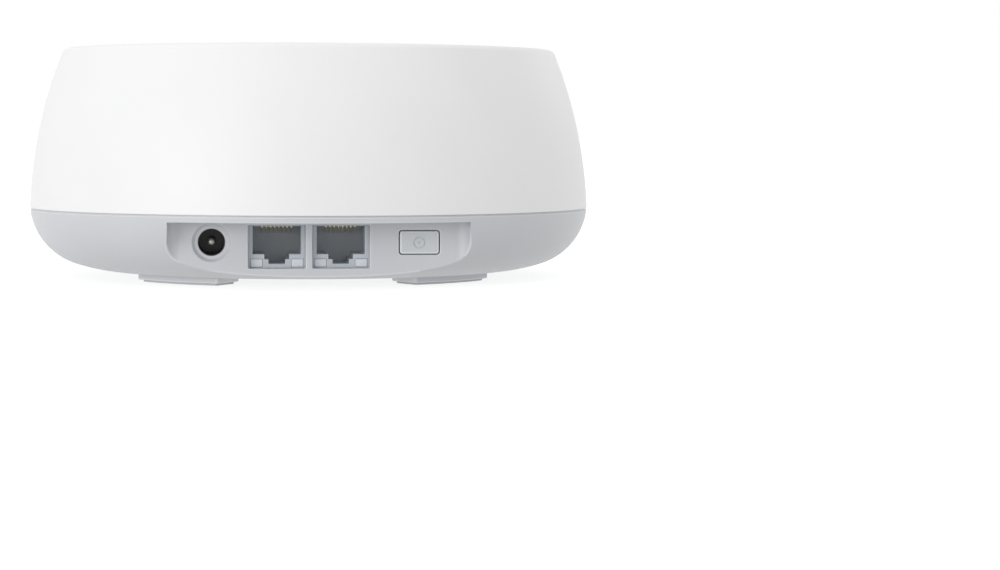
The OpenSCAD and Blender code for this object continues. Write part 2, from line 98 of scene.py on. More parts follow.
# Ports on the panel. LAN_CUT and LAN_BAY are a width and the lowest and highest z, BTN_HOLE a
# width and a height, PIPE a width, a height and a length, PIPE_AT a pipe's centre in its jack.
JACK_Y = span("lan_jack_left")[0].y
DC_X = middle("power_jack_pin", 0)
DC_Z = middle("power_jack_pin", 2)
DC_SINK_R = 9.65 / 2
DC_FLOOR_R = 8.2 / 2
DC_SINK = 1.0
DC_HOLE_R = 6.7 / 2
DC_BORE_R = 3.1
DC_BORE_L = 11
LAN_X = {side: middle("lan_jack_" + side, 0) for side in ("left", "right")}
LAN_CUT = (14.2, 5.0, 15.8)
LAN_BAY = (11.9, 8.5, 15.4)
LATCH_W = (6.1, 4.06)
LATCH_DROP = (1.25, 2.4)
LAN_DEPTH = 14
BTN_X = middle("pairing_button", 0)
BTN_Z = 11.4
BTN_HOLE = (10.15, 6.1)
BTN_GAP = 0.25
PIPE = (3, 2, 12)
PIPE_GAP = 0.05
PIPE_AT = (5.05, 6.3)
PIN_R, ROOT_R, ROOT_L = 1, 1.5, 2
BORE_BACK = 0.5

# Cover: bulging side, rounded upper edge, low crown. STATUS_WINDOW is a width, a height and the
# rounding of its corners.
SIDE_R = 120.3
SIDE_Z = 13.9
SIDE_C = SEAM_R - sqrt(SIDE_R**2 - (COVER_Z - SIDE_Z) ** 2)
COVER_WALL = 2.2
RIM_Z = 60.25
RIM_ROUND = 1.8
CROWN = radians(2)
STATUS_WINDOW = (6.2, 1.5, 0.3)

# Underside. PAD and FOOT are an inner and an outer radius, SLOT also has a width.
PAD = (40.4, 51.6)
PAD_SPAN = radians(33)
PAD_Z = 0.55
RECESS_Z = 0.95
FOOT = (41.4, 50.6)
FOOT_SPAN = radians(30.8)
FEET_AT = [radians(a) for a in (45, 135, 225, 315)]
CASE_SCREW_R = 46
SLOTS = 32
SLOT = (27, 37, 1.6)
LABEL_R = 21
RESET = (47, 0)
SCREW_MOUTH_R = 3.2
HOLE_EDGE = 0.25

# ---------------------------------------------------------------- meshes

# How outlines lie: in plan with height up, in front view with height along +Y, or in side view
# with height along +X.
PLAN = Matrix.Identity(3)
FRONT = Matrix(((1, 0, 0), (0, 0, 1), (0, 1, 0)))
SIDE = Matrix(((0, 0, 1), (1, 0, 0), (0, 1, 0)))


class Shape:
    """A mesh gathered patch by patch. Corners at one place share a vertex, and each face corner
    keeps the normal that its patch gives it, so curves are smooth and edges stay crisp. Faces that
    bend sharply, such as roundings, are marked as edges; some materials paint a highlight there."""

    def __init__(self):
        self.points, self.faces, self.normals, self.edges, self.index = [], [], [], [], {}

    def corner(self, point):
        key = tuple(round(c, 3) for c in point)
        if key not in self.index:
            self.index[key] = len(self.points)
            self.points.append(point)
        return self.index[key]

    def face(self, corners):
        """Adds one face from (point, normal) pairs, turned to face along its normals."""
        ids = [self.corner(point) for point, _ in corners]
        keep = [i for i, v in enumerate(ids) if v != ids[i - 1]]
        if len({ids[i] for i in keep}) < 3:
            return
        ids = [ids[i] for i in keep]
        normals = [corners[i][1] for i in keep]
        start = Vector(self.points[ids[0]])
        arms = [Vector(self.points[v]) - start for v in ids[1:]]
        facing = sum((a.cross(b) for a, b in zip(arms, arms[1:])), Vector())
        if facing.dot(sum((Vector(n) for n in normals), Vector())) < 0:
            ids.reverse()
            normals.reverse()
        self.faces.append(ids)
        self.normals += normals
        bend = max(Vector(normals[0]).angle(Vector(n), 0) for n in normals)
        self.edges.append(float(bend > radians(12)))

    def grid(self, rows, closed=False):
        """Quads between rows of (point, normal) pairs."""
        for low, high in zip(rows, rows[1:]):
            for i in range(0 if closed else 1, len(low)):
                self.face([low[i - 1], low[i], high[i], high[i - 1]])

    def fill(self, loops, inside=()):
        """Triangles between closed loops of (flat place, point, normal)."""
        corners = [c for loop in loops for c in loop] + list(inside)
        edges, first = [], 0
        for loop in loops:
            edges += [(first + i, first + (i + 1) % len(loop)) for i in range(len(loop))]
            first += len(loop)
        flat = [Vector(c[0]) for c in corners]
        places, _, triangles, origin, _, _ = delaunay_2d_cdt(flat, edges, [], 0, 1e-6)
        places = np.array([tuple(p) for p in places])
        centres = places[np.array(triangles)].mean(axis=1)
        for triangle, wanted in zip(triangles, within(centres, loops)):
            if wanted:
                self.face([corners[origin[v][0]][1:] for v in triangle])

    def cap(self, up, *rows, place=PLAN):
        """A flat face between rows of swept outlines, with its normal along place's height."""
        self.fill([level(row, up, place) for row in rows])

    def object(self, name, node, slot, body="housing"):
        """Makes the Blender object, which rides on body and stands for a CAD node."""
        mesh = bpy.data.meshes.new(name)
        mesh.from_pydata([tuple(c * MM for c in p) for p in self.points], [], self.faces)
        mesh.polygons.foreach_set("use_smooth", [True] * len(mesh.polygons))
        mesh.normals_split_custom_set([tuple(Vector(n).normalized()) for n in self.normals])
        mesh.attributes.new("edge", "FLOAT", "FACE").data.foreach_set("value", self.edges)
        mesh.materials.append(finish(slot))
        made = bpy.data.objects.new(name, mesh)
        bpy.context.scene.collection.objects.link(made)
        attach(made, body)
        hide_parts(node)


def within(places, loops):
    """Which flat places lie inside an odd number of loops."""
    x, y = places[:, 0], places[:, 1]
    odd = np.zeros(len(places), bool)
    for loop in loops:
        ring = np.array([tuple(c[0]) for c in loop])
        for (x0, y0), (x1, y1) in zip(ring, np.roll(ring, -1, axis=0)):
            if y0 != y1:
                crosses = (y0 > y) != (y1 > y)
                odd ^= crosses & (x < (x1 - x0) * (y - y0) / (y1 - y0) + x0)
    return odd


def clear_of(places, loops, gap=0.45):
    """Those items whose flat place is more than gap away from every corner of the loops."""
    ring = np.array([tuple(c[0]) for loop in loops for c in loop])
    here = np.array([tuple(c[0]) for c in places])
    nearest = np.array([np.hypot(*(ring - p).T).min() for p in here])
    return [c for c, far in zip(places, nearest) if far > gap]


def arc(centre, radius, start, end, steps):
    """Section points (a, b, normal a, normal b) along an arc, angles in radians."""
    turns = [start + (end - start) * i / steps for i in range(steps + 1)]
    return [(centre[0] + radius * cos(t), centre[1] + radius * sin(t), cos(t), sin(t))
            for t in turns]


def rims(low, high, edge_low, edge_high, steps):
    """Section of a wall from low to high whose two rims are rounded; an edge of 0 is sharp."""
    section = [(0, low, 1, 0)]
    if edge_low:
        section = arc((-edge_low, low + edge_low), edge_low, -pi / 2, 0, steps)
    if edge_high:
        return section + arc((-edge_high, high - edge_high), edge_high, 0, pi / 2, steps)
    return section + [(0, high, 1, 0)]


def path(corners, closed=False, steps=5):
    """Section points along straight runs. A corner is (a, b, rounding), and normals point to the
    right of the way along the path."""
    made, count = [], len(corners)
    for i, (a, b, rounding) in enumerate(corners):
        here = Vector((a, b))
        before = Vector(corners[i - 1][:2]) if closed or i > 0 else None
        after = Vector(corners[(i + 1) % count][:2]) if closed or i < count - 1 else None
        if before is None or after is None:
            way = (after - here if before is None else here - before).normalized()
            made.append((a, b, way.y, -way.x))
            continue
        come, go = (here - before).normalized(), (after - here).normalized()
        turn = atan2(come.x * go.y - come.y * go.x, come.dot(go))
        if not rounding:
            made += [(a, b, come.y, -come.x), (a, b, go.y, -go.x)]
            continue
        side = 1 if turn > 0 else -1
        begin = here - come * rounding * tan(abs(turn) / 2)
        centre = begin + Vector((-come.y, come.x)) * rounding * side
        for k in range(steps + 1):
            swing = atan2(-come.x, come.y) + turn * k / steps
            normal = Vector((cos(swing), sin(swing)))
            spot = centre + normal * rounding * side
            made.append((spot.x, spot.y, normal.x, normal.y))
    return made


def box_path(width, height, rounding, at=(0, 0), steps=6):
    """Outline of a rounded rectangle, counterclockwise, centred on at."""
    a, b = width / 2, height / 2
    corners = [(at[0] + x, at[1] + y, rounding) for x, y in ((-a, -b), (a, -b), (a, b), (-a, b))]
    return path(corners, True, steps)


def polar(radius, angle):
    return radius * cos(angle), radius * sin(angle)


def circle_path(radius, at=(0, 0), count=72):
    return arc(at, radius, 0, 2 * pi * (count - 1) / count, count - 1)


def rotated(outline, angle):
    c, s = cos(angle), sin(angle)
    return [(a * c - b * s, a * s + b * c, na * c - nb * s, na * s + nb * c)
            for a, b, na, nb in outline]


def sector_path(inner, outer, facing, spread, rounding):
    """Outline of a ring's sector with rounded corners, in plan."""
    def corner(radius, angle, first):
        centre = (radius * cos(angle), radius * sin(angle))
        return arc(centre, rounding, first, first + pi / 2, 6)[1:]

    steps = max(8, ceil(degrees(spread)))
    near, far = inner + rounding, outer - rounding
    near_end, far_end = spread / 2 - rounding / near, spread / 2 - rounding / far
    outline = arc((0, 0), outer, -far_end, far_end, steps)
    outline += corner(far, far_end, far_end) + corner(near, near_end, near_end + pi / 2)
    inside = arc((0, 0), inner, near_end, -near_end, steps)
    outline += [(a, b, -na, -nb) for a, b, na, nb in inside][1:]
    outline += corner(near, -near_end, pi - near_end)
    outline += corner(far, -far_end, -pi / 2 - far_end)[:-1]
    return rotated(outline, facing)


def sweep(shape, outline, section, place=PLAN):
    """A closed outline carried along a section of (grow, height, normal out, normal up). Returns
    its rows."""
    rows = []
    for grow, height, out, up in section:
        rows.append([(tuple(place @ Vector((a + grow * na, b + grow * nb, height))),
                      tuple(place @ Vector((out * na, out * nb, up))))
                     for a, b, na, nb in outline])
    shape.grid(rows, closed=True)
    return rows


def level(rows, up, place=PLAN):
    """A row of a swept outline as a loop for fill(), with its normals along place's height."""
    normal = tuple(place @ Vector((0, 0, up)))
    return [((place.transposed() @ Vector(point)).xy, point, normal) for point, _ in rows]


def solid(shape, outline, low, high, edge_low=EDGE, edge_high=EDGE, place=PLAN):
    """A closed prism with rounded rims."""
    rows = sweep(shape, outline, rims(low, high, edge_low, edge_high, 5), place)
    shape.cap(-1, rows[0], place=place)
    shape.cap(1, rows[-1], place=place)


def lip(shape, outline, face, depth, edge, place=PLAN, draft=0):
    """The wall of a hole with a rounded mouth, from height face up to height depth. Returns the
    outermost and the innermost row."""
    section = [(edge * (1 - sin(t)), face + edge * (1 - cos(t)), -sin(t), -cos(t))
               for t in (pi / 2 * k / 5 for k in range(6))]
    rows = sweep(shape, outline, section + [(-draft, depth, -1, 0)], place)
    return rows[0], rows[-1]


def turned(shape, section, at=(0, 0), place=PLAN, count=96, whole=False):
    """A section of (radius, height, normals) turned about an axis; a whole one is closed."""
    if whole:
        section = section + section[:1]
    return sweep(shape, circle_path(0, at, count), section, place)


def wire(shape, points, radius, sides=10):
    """A round wire along points, closed at both ends with flat faces."""
    points = [Vector(p) for p in points]
    rows = []
    for i, here in enumerate(points):
        way = (points[min(i + 1, len(points) - 1)] - points[max(i - 1, 0)]).normalized()
        across = Vector((1, 0, 0))
        up = way.cross(across)
        turns = [2 * pi * k / sides for k in range(sides)]
        ring = [across * cos(turn) + up * sin(turn) for turn in turns]
        rows.append([(tuple(here + n * radius), tuple(n)) for n in ring])
    shape.grid(rows, closed=True)
    for row, way in ((rows[0], points[0] - points[1]), (rows[-1], points[-1] - points[-2])):
        shape.face([(point, tuple(way)) for point, _ in row])


# ---------------------------------------------------------------- materials


class Nodes:
    """A node material whose colour, roughness and relief follow the object's own coordinates."""

    def __init__(self, name, colour, rough, metal=0.0):
        self.material = bpy.data.materials.new(name)
        self.material.use_nodes = True
        self.tree = self.material.node_tree
        self.surface = self.tree.nodes["Principled BSDF"]
        self.place = self.add("ShaderNodeTexCoord").outputs["Object"]
        self.set("Base Color", (*colour, 1))
        self.set("Roughness", rough)
        self.set("Metallic", metal)

    def add(self, kind, **values):
        node = self.tree.nodes.new(kind)
        for key, value in values.items():
            setattr(node, key, value)
        return node

    def set(self, socket, value):
        self.surface.inputs[socket].default_value = value

    def link(self, start, end):
        self.tree.links.new(start, end)

    def stretched(self, scale):
        node = self.add("ShaderNodeMapping")
        node.inputs["Scale"].default_value = scale
        self.link(self.place, node.inputs["Vector"])
        return node.outputs["Vector"]

    def noise(self, size, detail=2.0, place=None):
        """Noise whose features are about size millimetres across."""
        node = self.add("ShaderNodeTexNoise")
        node.inputs["Scale"].default_value = 1 / (size * MM)
        node.inputs["Detail"].default_value = detail
        self.link(place or self.place, node.inputs["Vector"])
        return node.outputs["Fac"]

    def cells(self, size, feature="F1"):
        node = self.add("ShaderNodeTexVoronoi", feature=feature)
        node.inputs["Scale"].default_value = 1 / (size * MM)
        self.link(self.place, node.inputs["Vector"])
        return node.outputs["Distance"]

    def math(self, operation, *terms):
        node = self.add("ShaderNodeMath", operation=operation)
        for socket, term in zip(node.inputs, terms):
            if isinstance(term, (int, float)):
                socket.default_value = term
            else:
                self.link(term, socket)
        return node.outputs[0]

    def between(self, factor, low, high, first=0.0, last=1.0):
        node = self.add("ShaderNodeMapRange")
        for socket, value in zip(node.inputs[1:5], (low, high, first, last)):
            socket.default_value = value
        self.link(factor, node.inputs[0])
        return node.outputs[0]

    def rough(self, factor, first, last):
        self.link(self.between(factor, 0.3, 0.7, first, last), self.surface.inputs["Roughness"])

    def tint(self, factor, first, last):
        """Colour from first to last along factor."""
        node = self.add("ShaderNodeMix", data_type="RGBA")
        node.inputs[6].default_value = (*first, 1)
        node.inputs[7].default_value = (*last, 1)
        self.link(factor, node.inputs[0])
        self.link(node.outputs[2], self.surface.inputs["Base Color"])

    def paint_edge_highlight(self, lighter, rough):
        """Paints a highlight on the rounded edges of a Shape: a lighter colour there, and their own
        roughness.
        """
        edge = self.add("ShaderNodeAttribute", attribute_name="edge").outputs["Fac"]
        node, colour = self.add("ShaderNodeHueSaturation"), self.surface.inputs["Base Color"]
        self.link(colour.links[0].from_socket, node.inputs["Color"])
        self.link(self.between(edge, 0, 1, 1, lighter), node.inputs["Value"])
        self.link(node.outputs["Color"], colour)
        gloss, mix = self.surface.inputs["Roughness"], self.add("ShaderNodeMix")
        self.link(edge, mix.inputs[0])
        self.link(gloss.links[0].from_socket, mix.inputs[2])
        mix.inputs[3].default_value = rough
        self.link(mix.outputs[0], gloss)

    def soften(self, weight, reach):
        """Lets light spread under the surface, reach millimetres far for red, green and blue."""
        self.set("Subsurface Weight", weight)
        self.set("Subsurface Radius", tuple(far * MM for far in reach))
        self.set("Subsurface Scale", 1.0)

    def relief(self, *layers):
        """Bumps from (height, depth in millimetres) layers."""
        normal = None
        for height, depth in layers:
            node = self.add("ShaderNodeBump")
            node.inputs["Distance"].default_value = depth * MM
            self.link(height, node.inputs["Height"])
            if normal:
                self.link(normal, node.inputs["Normal"])
            normal = node.outputs["Normal"]
        self.link(normal, self.surface.inputs["Normal"])


def shade(colour, factor):
    return tuple(min(1, c * factor) for c in colour)


def moulded(name, colour, rough, grain, depth, mottle):
    """Moulded plastic: a fine eroded grain, faint unevenness of gloss, colour and flatness."""
    nodes = Nodes(name, colour, rough)
    broad, fine = nodes.noise(14, 3), nodes.noise(grain, 3)
    nodes.tint(nodes.between(broad, 0.3, 0.7), shade(colour, 1 - mottle), shade(colour, 1 + mottle))
    both = nodes.math("ADD", nodes.math("MULTIPLY", broad, 0.5), nodes.math("MULTIPLY", fine, 0.5))
    nodes.rough(both, rough - 0.05, rough + 0.05)
    nodes.relief((fine, depth), (nodes.noise(9, 1), depth))
    return nodes


def metal(name, colour, rough, stretch, grain, depth):
    """Metal with fine draw or brush marks along the least stretched axis."""
    nodes = Nodes(name, colour, rough, 1.0)
    marks = nodes.noise(grain, 2, nodes.stretched(stretch))
    nodes.tint(nodes.between(nodes.noise(3, 3), 0.3, 0.7), shade(colour, 0.9), shade(colour, 1.05))
    nodes.rough(marks, rough * 0.7, rough * 1.4)
    nodes.relief((marks, depth))
    return nodes


def filler_specks(nodes):
    """Lighter specks of filler in the epoxy of a chip."""
    specks = nodes.between(nodes.noise(0.09, 0), 0.68, 0.74)
    nodes.tint(specks, (0.020, 0.020, 0.022), (0.05, 0.05, 0.055))


def copper_areas(nodes):
    """Copper areas on a woven laminate."""
    copper = nodes.between(nodes.cells(6, "DISTANCE_TO_EDGE"), 0.05, 0.07)
    nodes.tint(copper, (0.30, 0.17, 0.05), (0.55, 0.26, 0.12))
    nodes.link(nodes.math("MULTIPLY", copper, 0.9), nodes.surface.inputs["Metallic"])


def solder_mask(nodes):
    """Solder mask over a woven laminate, with raised copper tracks."""
    tracks = nodes.between(nodes.cells(2.2, "DISTANCE_TO_EDGE"), 0.06, 0.09)
    nodes.tint(tracks, (0.02, 0.16, 0.06), (0.010, 0.085, 0.035))
    nodes.rough(nodes.noise(4, 3), 0.24, 0.42)
    nodes.relief((nodes.noise(0.5, 1), 0.01), (tracks, 0.03))


def printed_ring(nodes):
    """A plain ring printed near the edge of the label."""
    axes = nodes.add("ShaderNodeSeparateXYZ")
    nodes.link(nodes.place, axes.inputs[0])
    squares = [nodes.math("POWER", axes.outputs[i], 2) for i in (0, 1)]
    distance = nodes.math("SQRT", nodes.math("ADD", *squares))
    ring = nodes.math("COMPARE", distance, 19 * MM, 0.15 * MM)
    nodes.tint(ring, (0.72, 0.72, 0.71), (0.30, 0.31, 0.32))


# Plastics, rubber and paper: colour, roughness, size and depth of the grain, unevenness of colour.
MOULDED = {
    "cover_white": ((0.86, 0.86, 0.865), 0.46, 0.3, 0.004, 0.006),
    "base_grey": ((0.598, 0.613, 0.638), 0.42, 0.25, 0.006, 0.012),
    "button_grey": ((0.62, 0.64, 0.66), 0.32, 0.3, 0.003, 0.01),
    "foot_rubber": ((0.50, 0.515, 0.53), 0.72, 0.12, 0.012, 0.05),
    "jack_plastic": ((0.53, 0.57, 0.61), 0.42, 0.18, 0.005, 0.04),
    "light_window": ((0.78, 0.82, 0.86), 0.3, 0.4, 0.003, 0.03),
    "black_plastic": ((0.018, 0.018, 0.019), 0.34, 0.16, 0.005, 0.15),
    "switch_ivory": ((0.62, 0.56, 0.40), 0.4, 0.22, 0.006, 0.04),
    "bracket_white": ((0.72, 0.72, 0.70), 0.45, 0.22, 0.006, 0.02),
    "pad_silicone": ((0.22, 0.32, 0.45), 0.6, 0.5, 0.02, 0.06),
    "lead_jacket": ((0.03, 0.03, 0.03), 0.38, 0.2, 0.006, 0.1),
    "led_white": ((0.80, 0.78, 0.62), 0.25, 0.1, 0.003, 0.05),
    "chip_black": ((0.022, 0.022, 0.024), 0.52, 0.07, 0.006, 0.2),
    "ferrite_grey": ((0.075, 0.075, 0.08), 0.66, 0.12, 0.02, 0.2),
    "antenna_laminate": ((0.42, 0.24, 0.06), 0.38, 0.6, 0.01, 0.1),
    "label_paper": ((0.72, 0.72, 0.71), 0.5, 0.08, 0.004, 0.015),
}
# Metals: colour, roughness, stretch, size and depth of the marks.
METAL = {
    "contact_gold": ((0.88, 0.70, 0.34), 0.36, (1, 0.15, 1), 0.06, 0.004),
    "pin_nickel": ((0.40, 0.395, 0.385), 0.5, (1, 0.15, 1), 0.05, 0.004),
    "screw_steel": ((0.50, 0.50, 0.51), 0.3, (1, 1, 0.2), 0.12, 0.004),
    "sink_aluminium": ((0.66, 0.67, 0.68), 0.34, (1, 0.04, 1), 0.1, 0.008),
    "can_aluminium": ((0.62, 0.63, 0.64), 0.28, (1, 1, 0.1), 0.1, 0.004),
    "shield_tin": ((0.56, 0.56, 0.54), 0.32, (0.1, 1, 1), 0.1, 0.004),
}
BARE = {"board_green": ((0.012, 0.10, 0.04), 0.32)}
DETAILS = {
    "cover_white": lambda nodes: nodes.soften(0.06, (1.2, 1.0, 0.9)),
    # The base and the button get a painted highlight on their rounded edges: a lighter colour
    # there.
    "base_grey": lambda nodes: nodes.paint_edge_highlight(1.16, 0.3),
    "button_grey": lambda nodes: nodes.paint_edge_highlight(1.22, 0.26),
    "foot_rubber": lambda nodes: nodes.set("Specular IOR Level", 0.35),
    "light_window": lambda nodes: nodes.soften(0.4, (2, 2, 1.6)),
    "chip_black": filler_specks,
    "antenna_laminate": copper_areas,
    "board_green": solder_mask,
    "label_paper": printed_ring,
}
finished = {}


def finish(slot):
    """The material of a slot, made once."""
    if slot not in finished:
        for make, table in ((moulded, MOULDED), (metal, METAL), (Nodes, BARE)):
            if slot in table:
                nodes = make(slot, *table[slot])
        if slot in DETAILS:
            DETAILS[slot](nodes)
        finished[slot] = nodes.material
    return finished[slot]


# ---------------------------------------------------------------- skins of revolution


def around(angle, radius, height):
    return (radius * sin(angle), -radius * cos(angle), height)


def on_skin(angle, radius, height, out, up, along):
    """(flat place, point, normal) on a surface of revolution; along is its section's length."""
    return (Vector((angle * SEAM_R, along)), around(angle, radius, height), around(angle, out, up))


COLUMNS = [radians(a) for a in range(-180, 180)]
UP, DOWN = (0, 0, 1), (0, 0, -1)


def ring_loop(angles, radius, height, normal):
    """A loop for fill() round the axis, at one height."""
    return [(Vector(around(a, radius, 0)[:2]), around(a, radius, height), normal) for a in angles]


def plan_loop(plan, height, normal):
    """A loop for fill() along points of a plan, at one height."""
    return [(Vector((x, y)), (x, y, height), normal) for x, y, _, _ in plan]


def revolve(shape, section):
    """A section of (radius, height, normals) turned about the object's axis."""
    shape.grid([[(around(angle, radius, height), around(angle, out, up)) for angle in COLUMNS]
                for radius, height, out, up in section], closed=True)


def skin(shape, at, stations, zone, holes=(), top=None):
    """A surface of revolution through at(angle, station). Up to zone degrees either side of angle
    0 it is cut along the holes, and top replaces the zone's own first row."""
    columns = [radians(a) for a in range(zone, 361 - zone)]
    rows = [[at(angle, station)[1:] for angle in columns] for station in stations]
    shape.grid(rows)
    inner = [radians(a) for a in range(-zone, zone + 1)]
    first = top or [at(angle, stations[0]) for angle in inner]
    right = [at(inner[-1], station) for station in stations[1:]]
    last = [at(angle, stations[-1]) for angle in reversed(inner[:-1])]
    left = [at(inner[0], station) for station in reversed(stations[1:-1])]
    loops = [first + right + last + left, *holes]
    spread = [at(angle, station) for angle in inner[1:-1] for station in stations[1:-1]]
    shape.fill(loops, clear_of(spread, loops[1:] + [first]))


def bowl_at(tilt, inset=0):
    """Radius and height of the bowl's section where its outward normal dips by tilt."""
    centre, radius = (BOWL, BOWL_R) if tilt < TURN else (LOW, LOW_R)
    return centre[0] + (radius - inset) * cos(tilt), centre[1] - (radius - inset) * sin(tilt)


def tilt_at_radius(radius, inset=0):
    tight = (radius - BOWL[0]) / (BOWL_R - inset)
    if tight > cos(TURN):
        return acos(min(1, tight))
    return acos((radius - LOW[0]) / (LOW_R - inset))


def tilt_at_height(height, inset=0):
    return asin((BOWL[1] - height) / (BOWL_R - inset))


def on_bowl(angle, tilt, inset=0, facing=1):
    radius, height = bowl_at(tilt, inset)
    along = BOWL_R * tilt if tilt < TURN else BOWL_R * TURN + LOW_R * (tilt - TURN)
    return on_skin(angle, radius, height, facing * cos(tilt), -facing * sin(tilt), along)


def pocket_plan(grow, reach, steps=10):
    """Plan of the pocket's wall from its left end to its right end as (x, y, normal x, normal y),
    with the normals towards the open pocket. It ends where it is as far from the axis as reach."""
    radius = POCKET_ROUND + grow
    centre = (POCKET_HALF - POCKET_ROUND, PANEL_Y - POCKET_ROUND)
    low, high = 0, pi / 2
    for _ in range(60):
        swing = (low + high) / 2
        far = hypot(centre[0] + radius * sin(swing), centre[1] + radius * cos(swing))
        low, high = (swing, high) if far < reach else (low, swing)
    swings = [low * i / steps for i in range(steps + 1)]
    right = [(centre[0] + radius * sin(t), centre[1] + radius * cos(t), -sin(t), -cos(t))
             for t in swings]
    side = centre[0] + radius
    if hypot(side, centre[1]) < reach - 0.01:
        length = sqrt(reach**2 - side**2) + centre[1]
        right += [(side, centre[1] - length * i / steps, -1, 0) for i in range(1, steps + 1)]
    left = [(-x, y, -nx, ny) for x, y, nx, ny in reversed(right)]
    count = round(2 * centre[0])
    panel = [(-centre[0] + 2 * centre[0] * i / count, centre[1] + radius, 0, -1)
             for i in range(1, count)]
    return left, panel, right


def fade(distance, full=4):
    """Grows smoothly from 0 at distance 0 to 1 at distance full."""
    t = min(1, max(0, distance / full))
    return t * t * (3 - 2 * t)


def lengths(places):
    """Distance along a row of places from the nearer end."""
    steps = [0]
    for before, here in zip(places, places[1:]):
        steps.append(steps[-1] + hypot(here[0] - before[0], here[1] - before[1]))
    return [min(s, steps[-1] - s) for s in steps]


def rounding_ring(centre, radius, first, last, steps=6):
    """Points on a ball from one normal to the other."""
    first, last = Vector(first), Vector(last)
    ring = []
    for k in range(steps + 1):
        normal = first.slerp(last, k / steps)
        ring.append((tuple(Vector(centre) + normal * radius), tuple(normal)))
    return ring


# ---------------------------------------------------------------- base


def pocket_mouth(shape, plan):
    """Rounds the edge between the pocket's wall and the bowl. The ball that rounds it shrinks
    to nothing at the two upper corners. Returns the wall's lower row and the bowl's window row."""
    rings, window = [], []
    for (x, y, nx, ny), distance in zip(plan, lengths(plan)):
        ball = POCKET_EDGE * fade(distance)
        cx, cy = x - nx * ball, y - ny * ball
        tilt = tilt_at_radius(hypot(cx, cy), ball)
        angle = atan2(cx, -cy)
        window.append(on_bowl(angle, tilt))
        centre = (cx, cy, bowl_at(tilt, ball)[1])
        rings.append(rounding_ring(centre, ball, (nx, ny, 0), window[-1][2]))
    shape.grid(rings)
    return [ring[0] for ring in rings], window


def ceiling_edge(shape, corner_angle):
    """Rounds the edge between the pocket's ceiling and the band above it."""
    count = round(2 * degrees(corner_angle))
    angles = [-corner_angle + 2 * corner_angle * i / count for i in range(count + 1)]
    rings, window = [], []
    for angle, distance in zip(angles, lengths([(a * SEAM_R, 0) for a in angles])):
        ball = POCKET_EDGE * fade(distance)
        tilt = tilt_at_height(CEILING_Z + ball, ball)
        window.append(on_bowl(angle, tilt))
        centre = around(angle, *bowl_at(tilt, ball))
        rings.append(rounding_ring(centre, ball, (0, 0, -1), window[-1][2]))
    shape.grid(rings)
    return [ring[0] for ring in rings], window


def wall_columns(shape, foot, normals, steps=5):
    """Upright columns from the foot row to the pocket's ceiling. Returns the columns."""
    columns = []
    for (point, _), normal in zip(foot, normals):
        rise = CEILING_Z - point[2]
        columns.append([((point[0], point[1], point[2] + rise * k / steps), normal)
                        for k in range(steps + 1)])
    shape.grid(columns)
    return columns


def pocket_walls(shape, foot, plan, corner, holes, facing):
    """The pocket's side walls, corner points long, and the flat panel between them with its holes,
    from the foot row to the ceiling. Their normals are the plan's, times facing."""
    def flat(point):
        return (Vector((point[0], point[2])), tuple(point), (0, -facing, 0))

    normals = [(facing * nx, facing * ny, 0) for _, _, nx, ny in plan]
    left = wall_columns(shape, foot[:corner], normals[:corner])[-1]
    right = wall_columns(shape, foot[-corner:], normals[-corner:])[0]
    between = [point for point, _ in foot[corner:-corner]]
    loop = [flat(left[0][0])] + [flat(p) for p in between] + [flat(p) for p, _ in right]
    loop += [flat((p[0], p[1], CEILING_Z)) for p in reversed(between)]
    loop += [flat(p) for p, _ in reversed(left[1:])]
    shape.fill([loop] + [[flat(p) for p, _ in hole] for hole in holes])


def port_holes(shape):
    """Walls of the four holes in the panel. Returns their rows on its outer and inner face."""
    width, low, high = LAN_CUT
    rows = []
    for x in LAN_X.values():
        outline = box_path(width, high - low, 0.4, (x, (low + high) / 2))
        rows.append(lip(shape, outline, PANEL_Y, PANEL_IN_Y, 0.25, FRONT, draft=0.15))
    outline = box_path(*BTN_HOLE, 0.8, (BTN_X, BTN_Z))
    rows.append(lip(shape, outline, PANEL_Y, PANEL_IN_Y, 0.3, FRONT))
    # The dish round the power jack's hole. Its roundings get no painted edge highlight.
    dish_y, first = PANEL_Y + DC_SINK, len(shape.edges)
    corners = [(DC_SINK_R + 1, PANEL_Y, 0), (DC_SINK_R, PANEL_Y, 0.3), (DC_FLOOR_R, dish_y, 0.15),
               (DC_HOLE_R, dish_y, 0.15), (DC_HOLE_R, PANEL_IN_Y, 0)]
    section = [(a, b, -abs(na), -abs(nb)) for a, b, na, nb in path(corners)[1:]]
    dish = turned(shape, section, (DC_X, DC_Z), FRONT, 96)
    shape.edges[first:] = [0.0] * (len(shape.edges) - first)
    rows.append((dish[0], dish[-1]))
    return zip(*rows)


def underside_holes(shape):
    """Cooling slots, reset hole and screw holes through the floor, and the label's recess.
    Returns their loops on the underside and on the floor."""
    outlines = [circle_path(2, RESET, 48)]
    outlines += [circle_path(SCREW_MOUTH_R, polar(CASE_SCREW_R, a), 48) for a in FEET_AT]
    start, end, width = SLOT
    slot = box_path(end - start, width, width / 2 - 0.01, ((start + end) / 2, 0), 8)
    outlines += [rotated(slot, 2 * pi * (i + 0.5) / SLOTS) for i in range(SLOTS)]
    under, floor = [], []
    for outline in outlines:
        first, last = lip(shape, outline, UNDER_Z, FLOOR_Z, HOLE_EDGE)
        under.append(level(first, -1))
        floor.append(level(last, 1))
    label = circle_path(LABEL_R, count=120)
    first, last = lip(shape, label, UNDER_Z, UNDER_Z + 0.2, 0.1)
    under.append(level(first, -1))
    shape.cap(-1, last)
    return under, floor


